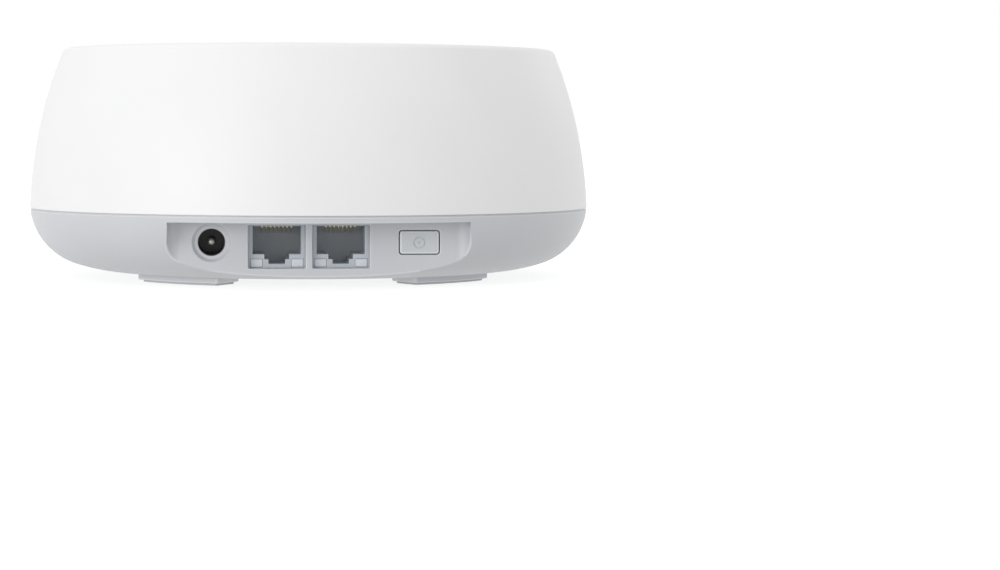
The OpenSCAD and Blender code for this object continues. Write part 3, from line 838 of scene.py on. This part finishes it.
def base_outside(shape, port_rows, under):
    """The bowl's outer skin with the pocket cut into it, and its rim."""
    rim_tilt = tilt_at_height(BASE_Z - SEAM_EDGE, SEAM_EDGE)
    rim = bowl_at(rim_tilt, SEAM_EDGE)
    arc_steps, low_steps = 26, 8
    stations = [rim_tilt + (TURN - rim_tilt) * i / arc_steps for i in range(arc_steps)]
    stations += [TURN + (pi / 2 - TURN) * i / low_steps for i in range(low_steps + 1)]

    corner_r = bowl_at(tilt_at_height(CEILING_Z))[0]
    left, panel, right = pocket_plan(0, corner_r)
    plan = left + panel + right
    foot, lower_window = pocket_mouth(shape, plan)
    corner_angle = atan2(plan[-1][0], -plan[-1][1])
    front, upper_window = ceiling_edge(shape, corner_angle)
    window = lower_window + upper_window[-2:0:-1]
    skin(shape, on_bowl, stations, POCKET_ZONE, [window])
    pocket_walls(shape, foot, plan, len(left), port_rows, 1)
    front = [(Vector(point[:2]), point, DOWN) for point, _ in front[-2:0:-1]]
    shape.fill([plan_loop(plan, CEILING_Z, DOWN) + front])

    edge = arc(rim, SEAM_EDGE, -rim_tilt, pi / 2, 5)
    seam_r, shoulder_z = SEAM_R - SEAM_DEPTH, COVER_Z - 0.04
    lip_section = path([(rim[0], BASE_Z, 0), (seam_r, BASE_Z, 0.05), (seam_r, shoulder_z, 0.05),
                        (LIP_R[1], shoulder_z, 0), (LIP_R[1], LIP_Z, 0.2), (LIP_R[0], LIP_Z, 0.2),
                        (LIP_R[0], BASE_Z, 0)])
    revolve(shape, edge + lip_section)
    shape.fill([ring_loop(COLUMNS, LOW[0], UNDER_Z, DOWN)] + under)


def beyond_angle(angle):
    """Angles in whole degrees round the side away from the pocket, from angle to -angle."""
    first = ceil(degrees(angle))
    return [radians(a) for a in range(first, 361 - first)]


def base_inside(shape, port_rows, floor):
    """The inner skin: bowl, flange, and the back of the pocket's walls and ceiling."""
    inset = BASE_WALL
    top_tilt = tilt_at_height(CEILING_Z, inset)
    top_r = bowl_at(top_tilt, inset)[0]
    stations = [top_tilt + (TURN - top_tilt) * i / 14 for i in range(14)]
    stations += [TURN + (pi / 2 - TURN) * i / 5 for i in range(6)]

    inner_bowl = partial(on_bowl, inset=inset, facing=-1)
    left, panel, right = pocket_plan(BASE_WALL, top_r)
    crossing = pocket_plan(BASE_WALL, LIP_R[0])[2][-1]
    beyond = [c for c in right if hypot(c[0], c[1]) > LIP_R[0] + 0.01]
    right = [c for c in right if hypot(c[0], c[1]) < LIP_R[0] - 0.01] + [crossing] + beyond
    left = [(-x, y, -nx, ny) for x, y, nx, ny in reversed(right)]
    plan = left + panel + right
    window = [inner_bowl(atan2(x, -y), tilt_at_radius(hypot(x, y), inset)) for x, y, _, _ in plan]
    corner = atan2(plan[-1][0], -plan[-1][1])
    beside = [radians(a) for a in range(ceil(degrees(corner)), POCKET_ZONE + 1)]
    top = [inner_bowl(-a, top_tilt) for a in reversed(beside)] + window
    top += [inner_bowl(a, top_tilt) for a in beside]
    skin(shape, inner_bowl, stations, POCKET_ZONE, top=top)
    foot = [(point, normal) for _, point, normal in window]
    pocket_walls(shape, foot, plan, len(left), port_rows, -1)

    skip = len(beyond)
    slab = plan[skip:len(plan) - skip]
    shape.grid([[((x, y, z), (-nx, -ny, 0)) for x, y, nx, ny in slab] for z in (CEILING_Z, BASE_Z)])
    cross = atan2(crossing[0], -crossing[1])
    near = int(degrees(cross))
    whole = [radians(a) for a in range(-near, near + 1)]
    slab_front = ring_loop(reversed(whole), LIP_R[0], BASE_Z, UP)
    shape.fill([plan_loop(slab, BASE_Z, UP) + slab_front])
    rest = [cross] + beyond_angle(cross) + [-cross]
    shape.grid([[(around(a, LIP_R[0], z), around(a, -1, 0)) for a in rest]
                for z in (CEILING_Z, BASE_Z)])
    flange = plan_loop(plan[len(plan) - skip:], CEILING_Z, DOWN)
    flange += ring_loop(beyond_angle(corner), top_r, CEILING_Z, DOWN)
    flange += plan_loop(plan[:skip], CEILING_Z, DOWN)
    shape.fill([flange + ring_loop(reversed(rest), LIP_R[0], CEILING_Z, DOWN)])
    shape.fill([ring_loop(COLUMNS, LOW[0], FLOOR_Z, UP)] + floor)
    # The lip's foot has no corner where the pocket's wall passes under it: close the hairlines.
    for way in (-1, 1):
        ends = (way * radians(near), way * cross, way * radians(near + 1))
        shape.face([(around(a, LIP_R[0], BASE_Z), UP) for a in ends])


def foot_pad(shape, facing):
    """A moulded pad under the bowl, with the recess that holds a rubber foot."""
    top = FLOOR_Z - 0.6
    outline = sector_path(*PAD, facing, PAD_SPAN, 0.8)
    rows = sweep(shape, outline, rims(PAD_Z, top, EDGE, 0, 5))
    recess = sector_path(FOOT[0] - 0.1, FOOT[1] + 0.1, facing, FOOT_SPAN + radians(0.3), 0.7)
    mouth, ceiling = lip(shape, recess, PAD_Z, RECESS_Z, 0.12)
    screw = circle_path(SCREW_MOUTH_R, polar(CASE_SCREW_R, facing), 48)
    hole = sweep(shape, screw, [(0, RECESS_Z, -1, 0), (0, top, -1, 0)])
    shape.cap(-1, rows[0], mouth)
    shape.cap(-1, ceiling, hole[0])
    shape.cap(1, rows[-1], hole[-1])


def base_posts(shape):
    """Posts for the case screws and for the board, and the tube that guides the reset button."""
    root = FLOOR_Z - 0.5
    outer, bore, head, top, seat = 4.3, 1.7, 3.25, 21, 4.6
    corners = [(outer, root, 0), (outer, top, 0.2), (bore, top, 0.1), (bore, seat, 0),
               (head, seat, 0), (head, root, 0)]
    for angle in FEET_AT:
        at = polar(CASE_SCREW_R, angle)
        turned(shape, path(corners, closed=True), at, count=48, whole=True)
    outer, bore, top, root, end = 3.2, 1.15, span("main_board")[0].z, 3, 9
    corners = [(0, root, 0), (outer, root, 0), (outer, top, 0.2), (bore, top, 0.1), (bore, end, 0),
               (0, end, 0)]
    for at in ((50, 14), (-50, 14), (46, -30), (-46, -30)):
        turned(shape, path(corners), at, count=48)
    outer, bore, top, root = 3.2, 2.05, 12.5, FLOOR_Z - 0.5
    corners = [(outer, root, 0), (outer, top, 0.2), (bore, top, 0.1), (bore, root, 0)]
    turned(shape, path(corners, closed=True), RESET, count=48, whole=True)


def make_base():
    shape = Shape()
    port_out, port_in = port_holes(shape)
    under, floor = underside_holes(shape)
    base_outside(shape, port_out, under)
    base_inside(shape, port_in, floor)
    for facing in FEET_AT:
        foot_pad(shape, facing)
    base_posts(shape)
    shape.object("base_bowl", "base_shell", "base_grey")


def make_feet():
    shape = Shape()
    for facing in FEET_AT:
        solid(shape, sector_path(*FOOT, facing, FOOT_SPAN, 0.7), 0, RECESS_Z, HOLE_EDGE, 0)
    shape.object("foot_pads", "rubber_feet", "foot_rubber")


# ---------------------------------------------------------------- cover


def on_side(angle, tilt, inset=0):
    """The cover's side where its outward normal rises by tilt. Angles here start at +Y, where the
    status light is."""
    facing, out, up = -1 if inset else 1, cos(tilt), sin(tilt)
    radius, height = SIDE_C + (SIDE_R - inset) * out, SIDE_Z + (SIDE_R - inset) * up
    _, *corner = on_skin(angle + pi, radius, height, facing * out, facing * up, 0)
    return Vector((angle * SEAM_R, SIDE_R * tilt)), *corner


def side_tilt(height, inset=0):
    return asin((height - SIDE_Z) / (SIDE_R - inset))


def status_window(inset):
    """The row of the status light's window on the cover's outer or inner face."""
    row = []
    for x, z, _, _ in box_path(*STATUS_WINDOW, (0, middle("status_light_pipe", 2))):
        tilt = side_tilt(z, inset)
        radius = SIDE_C + (SIDE_R - inset) * cos(tilt)
        row.append(on_side(asin(x / radius), tilt, inset))
    return row


def make_cover():
    shape = Shape()
    edge_z = RIM_Z - RIM_ROUND
    edge_r = SIDE_C + sqrt((SIDE_R - RIM_ROUND) ** 2 - (edge_z - SIDE_Z) ** 2)
    edge_tilt = atan2(edge_z - SIDE_Z, edge_r - SIDE_C)
    seam_tilt = side_tilt(COVER_Z + EDGE, EDGE)
    seam_r = SIDE_C + (SIDE_R - EDGE) * cos(seam_tilt)
    crown_start = (edge_r + RIM_ROUND * sin(CROWN), edge_z + RIM_ROUND * cos(CROWN))
    crown_r = crown_start[0] / sin(CROWN)
    crown = (0, crown_start[1] - crown_r * cos(CROWN))

    zone = 6
    outer = [seam_tilt + (edge_tilt - seam_tilt) * i / 30 for i in range(31)]
    low, high = side_tilt(COVER_Z, COVER_WALL), side_tilt(RIM_Z - COVER_WALL, COVER_WALL)
    inner = [low + (high - low) * i / 16 for i in range(17)]
    outer_window, inner_window = status_window(0), status_window(COVER_WALL)
    skin(shape, on_side, outer, zone, [outer_window])
    skin(shape, partial(on_side, inset=COVER_WALL), inner, zone, [inner_window])
    walls = [(na, 0, -nb) for _, _, na, nb in box_path(*STATUS_WINDOW)]
    shape.grid([[(c[1], n) for c, n in zip(row, walls)] for row in (outer_window, inner_window)],
               closed=True)

    seam = arc((seam_r, COVER_Z + EDGE), EDGE, seam_tilt, -pi / 2, 5)
    inner_low = SIDE_C + (SIDE_R - COVER_WALL) * cos(low)
    seam += [(seam_r, COVER_Z, 0, -1), (inner_low, COVER_Z, 0, -1)]
    top = arc((edge_r, edge_z), RIM_ROUND, edge_tilt, pi / 2 - CROWN, 8)
    top += arc(crown, crown_r, pi / 2 - CROWN, pi / 2, 24)
    inner_high = SIDE_C + (SIDE_R - COVER_WALL) * cos(high)
    lid = arc(crown, crown_r - COVER_WALL, pi / 2 - CROWN, pi / 2, 12)
    under_top = [(inner_high, RIM_Z - COVER_WALL, 0, -1)]
    under_top += [(a, b, -na, -nb) for a, b, na, nb in lid]
    for section in (seam, top, under_top):
        revolve(shape, section)
    # Four posts that take the case screws, and four that carry the antenna bracket.
    root = RIM_Z - 1
    for distance, start, foot, outer_r, inner_r, hole in (
            (CASE_SCREW_R, pi / 4, 21.05, 3.5, 1.3, 12), (44, 0, 38.05, 3, 1.05, 9)):
        corners = [(inner_r, foot, 0.1), (outer_r, foot, 0.2), (outer_r, root, 0), (0, root, 0),
                   (0, foot + hole, 0), (inner_r, foot + hole, 0)]
        for i in range(4):
            at = polar(distance, start + pi * i / 2)
            turned(shape, path(corners, closed=True), at, count=40, whole=True)
    shape.object("dome_cover", "top_cover", "cover_white")


# ---------------------------------------------------------------- ports


def make_lan_jack(side):
    """Housing of a network jack: a block with a stepped opening and two windows for the lights."""
    shape, x = Shape(), LAN_X[side]
    low, high = span("lan_jack_" + side)
    outline = box_path(high.x - low.x, high.z - low.z, 0.3, (x, (low.z + high.z) / 2))
    rows = sweep(shape, outline, rims(low.y, high.y, 0.2, 0.2, 4), FRONT)
    width, floor, roof = LAN_BAY
    low_step, step = [floor - drop for drop in reversed(LATCH_DROP)]
    narrow, wide = LATCH_W[1] / 2, LATCH_W[0] / 2
    inward, outward = 0.12, 0.2
    right = [(narrow, low_step, inward), (narrow, step, outward), (wide, step, inward),
             (wide, floor, outward), (width / 2, floor, inward), (width / 2, roof, inward)]
    corners = [(x + a, b, r) for a, b, r in right] + [(x - a, b, r) for a, b, r in reversed(right)]
    outline = path(corners, closed=True, steps=4)
    mouth, end = lip(shape, outline, low.y, JACK_Y + LAN_DEPTH, 0.15, FRONT)
    shape.cap(-1, end, place=FRONT)
    holes = [mouth]
    for sign in (-1, 1):
        outline = box_path(PIPE[0] + 2 * PIPE_GAP, PIPE[1] + 2 * PIPE_GAP, 0.2,
                           (x + sign * PIPE_AT[0], PIPE_AT[1]))
        mouth, end = lip(shape, outline, low.y, low.y + PIPE[2] + PIPE_GAP, 0.08, FRONT)
        shape.cap(-1, end, place=FRONT)
        holes.append(mouth)
    shape.cap(-1, rows[0], *holes, place=FRONT)
    shape.cap(1, rows[-1], place=FRONT)
    shape.object("network_jack_" + side, "lan_jack_" + side, "jack_plastic")


def make_lan_contacts(side):
    """Eight spring wires that hang from the opening's roof and slope down to the rear."""
    shape, pitch, radius, length, drop = Shape(), 1.02, 0.17, 9.2, 1.85
    front, roof = JACK_Y + 1.8, LAN_BAY[2] - 0.22
    for i in range(8):
        x = LAN_X[side] + (i - 3.5) * pitch
        points = []
        for k in range(15):
            t = k / 14
            rise = 0.9 * max(0, t - 0.86)
            points.append((x, front + length * t, roof - drop * t * t * (2 - t) + rise))
        wire(shape, points, radius)
    shape.object("spring_wires_" + side, "lan_contacts_" + side, "contact_gold")


def make_light_windows():
    shape, (width, height, length) = Shape(), PIPE
    for x in LAN_X.values():
        for sign in (-1, 1):
            outline = box_path(width, height, 0.2, (x + sign * PIPE_AT[0], PIPE_AT[1]))
            solid(shape, outline, JACK_Y - 0.01, JACK_Y + length, 0.15, 0.1, FRONT)
    shape.object("light_windows", "jack_light_pipes", "light_window")


def make_power_jack():
    """Barrel jack: a square front flange, a round-bottomed body and the bore for the plug."""
    shape, at = Shape(), (DC_X, DC_Z)
    low, high = span("power_jack_housing")
    square = box_path(high.x - low.x, high.z - low.z, 0.3, (DC_X, (low.z + high.z) / 2))
    flange_y = low.y + 3.4
    flange = sweep(shape, square, rims(low.y, flange_y, 0.2, 0.2, 4), FRONT)
    half = (high.x - low.x) / 2 - 0.3
    corners = [(DC_X - half, low.z + 0.3, 4), (DC_X + half, low.z + 0.3, 4),
               (DC_X + half, high.z - 0.3, 0.3), (DC_X - half, high.z - 0.3, 0.3)]
    rounded = path(corners, closed=True, steps=10)
    body = sweep(shape, rounded, rims(flange_y, high.y, 0, 0.2, 4), FRONT)
    back, root_y = low.y + DC_BORE_L - BORE_BACK, low.y + DC_BORE_L - 0.02
    mouth, end = lip(shape, circle_path(DC_BORE_R, at), low.y, back, 0.2, FRONT)
    throat, neck = lip(shape, circle_path(PIN_R + 0.02, at), back, root_y, 0.05, FRONT)
    root, seat = lip(shape, circle_path(ROOT_R + 0.02, at), root_y, root_y + 2.07, 0, FRONT)
    shape.cap(-1, end, throat, place=FRONT)
    shape.cap(1, root, neck, place=FRONT)
    shape.cap(-1, seat, place=FRONT)
    shape.cap(-1, flange[0], mouth, place=FRONT)
    shape.cap(1, flange[-1], body[0], place=FRONT)
    shape.cap(1, body[-1], place=FRONT)
    shape.object("barrel_jack", "power_jack_housing", "black_plastic")


def make_power_pin():
    shape = Shape()
    nose, root = JACK_Y + 1.8, JACK_Y + DC_BORE_L
    section = arc((0, nose), PIN_R, -pi / 2, 0, 12)
    section += path([(PIN_R, nose, 0), (PIN_R, root, 0), (ROOT_R, root, 0.1),
                     (ROOT_R, root + ROOT_L, 0.1), (0, root + ROOT_L, 0)])
    turned(shape, section, (DC_X, DC_Z), FRONT, 48)
    shape.object("barrel_jack_pin", "power_jack_pin", "pin_nickel")


def make_power_spring():
    """Leaf contact that rises from the floor of the bore towards the pin."""
    shape = Shape()
    low, high = span("power_jack_spring")
    corners = [(low.y, low.z, 0.1), (high.y, low.z, 0.1), (high.y, low.z + 0.3, 0.1),
               (high.y - 2.3, high.z - 0.15, 0.8), (low.y + 3.5, high.z, 0.8),
               (low.y, low.z + 0.25, 0.1)]
    solid(shape, path(corners, closed=True), low.x, high.x, 0.08, 0.08, SIDE)
    shape.object("barrel_jack_leaf", "power_jack_spring", "pin_nickel")


def ring_and_dot(shape, at, face):
    """A ring and a dot pressed into a face that looks along -Y. Returns the ring's outer row."""
    depth, edge = 0.24, 0.03
    groove, outside = lip(shape, circle_path(1.5, at, 72), face, face + depth, edge, FRONT)
    section = rims(face, face + depth, edge, 0, 4)
    island = sweep(shape, circle_path(1.15, at, 60), section, FRONT)
    dot, end = lip(shape, circle_path(0.4, at, 32), face, face + depth, edge, FRONT)
    shape.cap(-1, outside, island[-1], place=FRONT)
    shape.cap(-1, island[0], dot, place=FRONT)
    shape.cap(-1, end, place=FRONT)
    return groove


def make_button():
    """The push button: a bevelled cap, its retaining plate and the rod that presses the switch."""
    shape = Shape()
    low, high = span("pairing_button")
    plate_y, bevel = PANEL_IN_Y + 0.1, 0.4
    cap = box_path(BTN_HOLE[0] - 2 * BTN_GAP, BTN_HOLE[1] - 2 * BTN_GAP, 0.6, (BTN_X, BTN_Z))
    rows = sweep(shape, cap, rims(low.y, plate_y + 0.2, bevel, 0, 6), FRONT)
    groove = ring_and_dot(shape, (BTN_X, BTN_Z), low.y)
    shape.cap(-1, rows[0], groove, place=FRONT)
    shape.cap(1, rows[-1], place=FRONT)
    plate = box_path(high.x - low.x, high.z - low.z, 0.4, (BTN_X, (low.z + high.z) / 2))
    solid(shape, plate, plate_y, plate_y + 1, 0.15, 0.15, FRONT)
    rod = circle_path(2, (BTN_X, middle("button_switch_plunger", 2)), 48)
    solid(shape, rod, plate_y + 0.9, high.y, 0, 0.2, FRONT)
    shape.object("push_button_cap", "pairing_button", "button_grey", "push_button")


def make_reset():
    """The recessed reset button: a stem with a shallow dimple below and a collar above."""
    shape = Shape()
    low, high = span("reset_button")
    dimple, stem, collar, dimple_z, collar_z = 1, 1.93, 2.8, low.z + 0.3, 12.55
    corners = [(0, dimple_z, 0), (dimple, dimple_z, 0.06), (dimple, low.z, 0.06),
               (stem, low.z, 0.15), (stem, collar_z, 0), (collar, collar_z, 0.1),
               (collar, high.z, 0.1), (0, high.z, 0)]
    turned(shape, path(corners), RESET, count=48)
    shape.object("reset_cap", "reset_button", "button_grey", "reset_button")


def make_label():
    shape = Shape()
    low, high = span("base_label")
    solid(shape, circle_path(LABEL_R - 0.3, count=120), low.z, high.z, 0.04, 0.04)
    shape.object("label_disc", "base_label", "label_paper")


# ---------------------------------------------------------------- the object

make_base()
make_feet()
make_cover()
for side in LAN_X:
    make_lan_jack(side)
    make_lan_contacts(side)
make_light_windows()
make_power_jack()
make_power_pin()
make_power_spring()
make_button()
make_reset()
make_label()

# Pieces kept as CAD made them, by the finish they take.
KEPT = {
    "screw_steel": ("case_screws", "board_screws", "heatsink_screws", "bracket_screws"),
    "board_green": ("main_board",),
    "contact_gold": ("antenna_sockets",),
    "light_window": ("status_light_pipe",),
    "black_plastic": ("button_switch_body", "reset_switch_body"),
    "switch_ivory": ("button_switch_plunger", "reset_switch_plunger"),
    "sink_aluminium": ("heatsink",),
    "pad_silicone": ("thermal_pads",),
    "chip_black": ("main_processor", "memory_chips", "radio_chips", "lan_transformers",
                   "power_regulators"),
    "shield_tin": ("radio_shields", "clock_crystals"),
    "ferrite_grey": ("power_inductors",),
    "can_aluminium": ("filter_capacitors",),
    "bracket_white": ("antenna_bracket",),
    "antenna_laminate": ("antenna_elements",),
    "lead_jacket": ("antenna_leads",),
    "led_white": ("status_led",),
}
for slot, nodes in KEPT.items():
    for node in nodes:
        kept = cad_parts[node]
        kept.data.materials.clear()
        kept.data.materials.append(finish(slot))

# ---------------------------------------------------------------- stage, lights, camera


def put(name, data, place, target=None):
    made = bpy.data.objects.new(name, data)
    bpy.context.scene.collection.objects.link(made)
    made.location = place
    if target is not None:
        made.rotation_euler = (Vector(target) - Vector(place)).to_track_quat("-Z", "Y").to_euler()
    return made


def plain(name, colour, strength=0.0):
    """A matt finish for the stage; a strength above 0 makes it glow instead."""
    nodes = Nodes(name, colour, 0.8)
    nodes.set("Specular IOR Level", 0.0)
    if strength:
        nodes.set("Base Color", (0, 0, 0, 1))
        nodes.set("Emission Color", (*colour, 1))
        nodes.set("Emission Strength", strength)
    return nodes.material


def make_floor():
    """A pale, faintly glowing floor. From below it is clear, so that the underside can be seen."""
    reach = 8.5
    mesh = bpy.data.meshes.new("floor")
    corners = [(x * reach, y * reach, 0) for x, y in ((-1, -1), (1, -1), (1, 1), (-1, 1))]
    mesh.from_pydata(corners, [], [(0, 1, 2, 3)])
    nodes = Nodes("floor", (0.45, 0.45, 0.45), 0.85)
    nodes.set("Specular IOR Level", 0.0)
    nodes.set("Emission Color", (1, 1, 1, 1))
    nodes.set("Emission Strength", FLOOR_GLOW)
    clear, mix = nodes.add("ShaderNodeBsdfTransparent"), nodes.add("ShaderNodeMixShader")
    output = nodes.tree.nodes["Material Output"]
    nodes.link(nodes.add("ShaderNodeNewGeometry").outputs["Backfacing"], mix.inputs[0])
    nodes.link(nodes.surface.outputs[0], mix.inputs[1])
    nodes.link(clear.outputs[0], mix.inputs[2])
    nodes.link(mix.outputs[0], output.inputs["Surface"])
    mesh.materials.append(nodes.material)
    floor = put("floor", mesh, (0, 0, 0))
    floor.visible_diffuse = False


def make_backdrop():
    """A glowing white dome behind everything, seen by the camera and in reflections."""
    mesh = bpy.data.meshes.new("backdrop")
    rings, columns, reach = 12, 48, 9.0
    points = [(reach * cos(t) * cos(a), reach * cos(t) * sin(a), reach * sin(t))
              for t in (pi * (i / rings - 0.5) for i in range(rings + 1))
              for a in (2 * pi * k / columns for k in range(columns))]
    faces = []
    for low in range(0, rings * columns, columns):
        high = low + columns
        for k in range(columns):
            after = (k + 1) % columns
            faces.append((low + k, low + after, high + after, high + k))
    mesh.from_pydata(points, [], faces)
    mesh.materials.append(plain("backdrop", (1, 1, 1), 1.0))
    dome = put("backdrop", mesh, (0, 0, 0))
    dome.visible_diffuse = dome.visible_transmission = dome.visible_shadow = False


def make_world(strength):
    """Soft light from everywhere, weaker from below."""
    world = bpy.data.worlds.new("studio")
    world.use_nodes = True
    tree = world.node_tree
    background = tree.nodes["Background"]
    place = tree.nodes.new("ShaderNodeTexCoord")
    axes, blend = tree.nodes.new("ShaderNodeSeparateXYZ"), tree.nodes.new("ShaderNodeMapRange")
    tree.links.new(place.outputs["Generated"], axes.inputs[0])
    tree.links.new(axes.outputs[2], blend.inputs[0])
    for socket, value in zip(blend.inputs[1:5], (-0.6, 0.3, WORLD_LOW * strength, strength)):
        socket.default_value = value
    tree.links.new(blend.outputs[0], background.inputs["Strength"])
    background.inputs["Color"].default_value = (1, 1, 1, 1)
    bpy.context.scene.world = world


def area_light(name, bearing, height, distance, size, power):
    """A softbox round the object: bearing in degrees from -Y towards +X, height in degrees."""
    data = bpy.data.lights.new(name, "AREA")
    data.shape, data.size, data.size_y, data.energy = "RECTANGLE", size[0], size[1], power
    a, e = radians(bearing), radians(height)
    place = Vector((sin(a) * cos(e), -cos(a) * cos(e), sin(e))) * distance
    return put(name, data, place + AIM, AIM)


AIM = Vector((0, 0, 0.03))
WORLD_LOW = 0.68
FLOOR_GLOW = 0.74
make_world(0.838)
make_floor()
make_backdrop()
area_light("key", -48, 5, 1.1, (0.75, 0.38), 4.3)
area_light("rim", 130, 16, 1.2, (0.5, 0.2), 0.3)
area_light("top", 0, 89, 1.2, (1.2, 1.2), 0.9)

# The camera stands just above the table, a little left of the panel's axis. Its lens and turns were
# fitted to the photo, where the object fills the left of the frame.
EYE = 0.040
EYE_DISTANCE = 0.697
EYE_BEARING = radians(-2.0)
PAN = radians(4.184)
TILT = radians(-3.495)
ROLL = radians(0.15)
camera_data = bpy.data.cameras.new("camera")
camera_data.sensor_width, camera_data.lens = 36, 93.35
camera_data.clip_start, camera_data.clip_end = 0.01, 50
eye_x, eye_y, _ = around(EYE_BEARING, EYE_DISTANCE, 0)
camera = put("camera", camera_data, (eye_x, eye_y, EYE))
turns = ((EYE_BEARING - PAN, "Z"), (pi / 2 + TILT, "X"), (ROLL, "Z"))
pan, tilt, roll = (Matrix.Rotation(angle, 3, axis) for angle, axis in turns)
camera.rotation_euler = (pan @ tilt @ roll).to_euler()
bpy.context.scene.camera = camera
bpy.context.scene.view_settings.view_transform = "Standard"
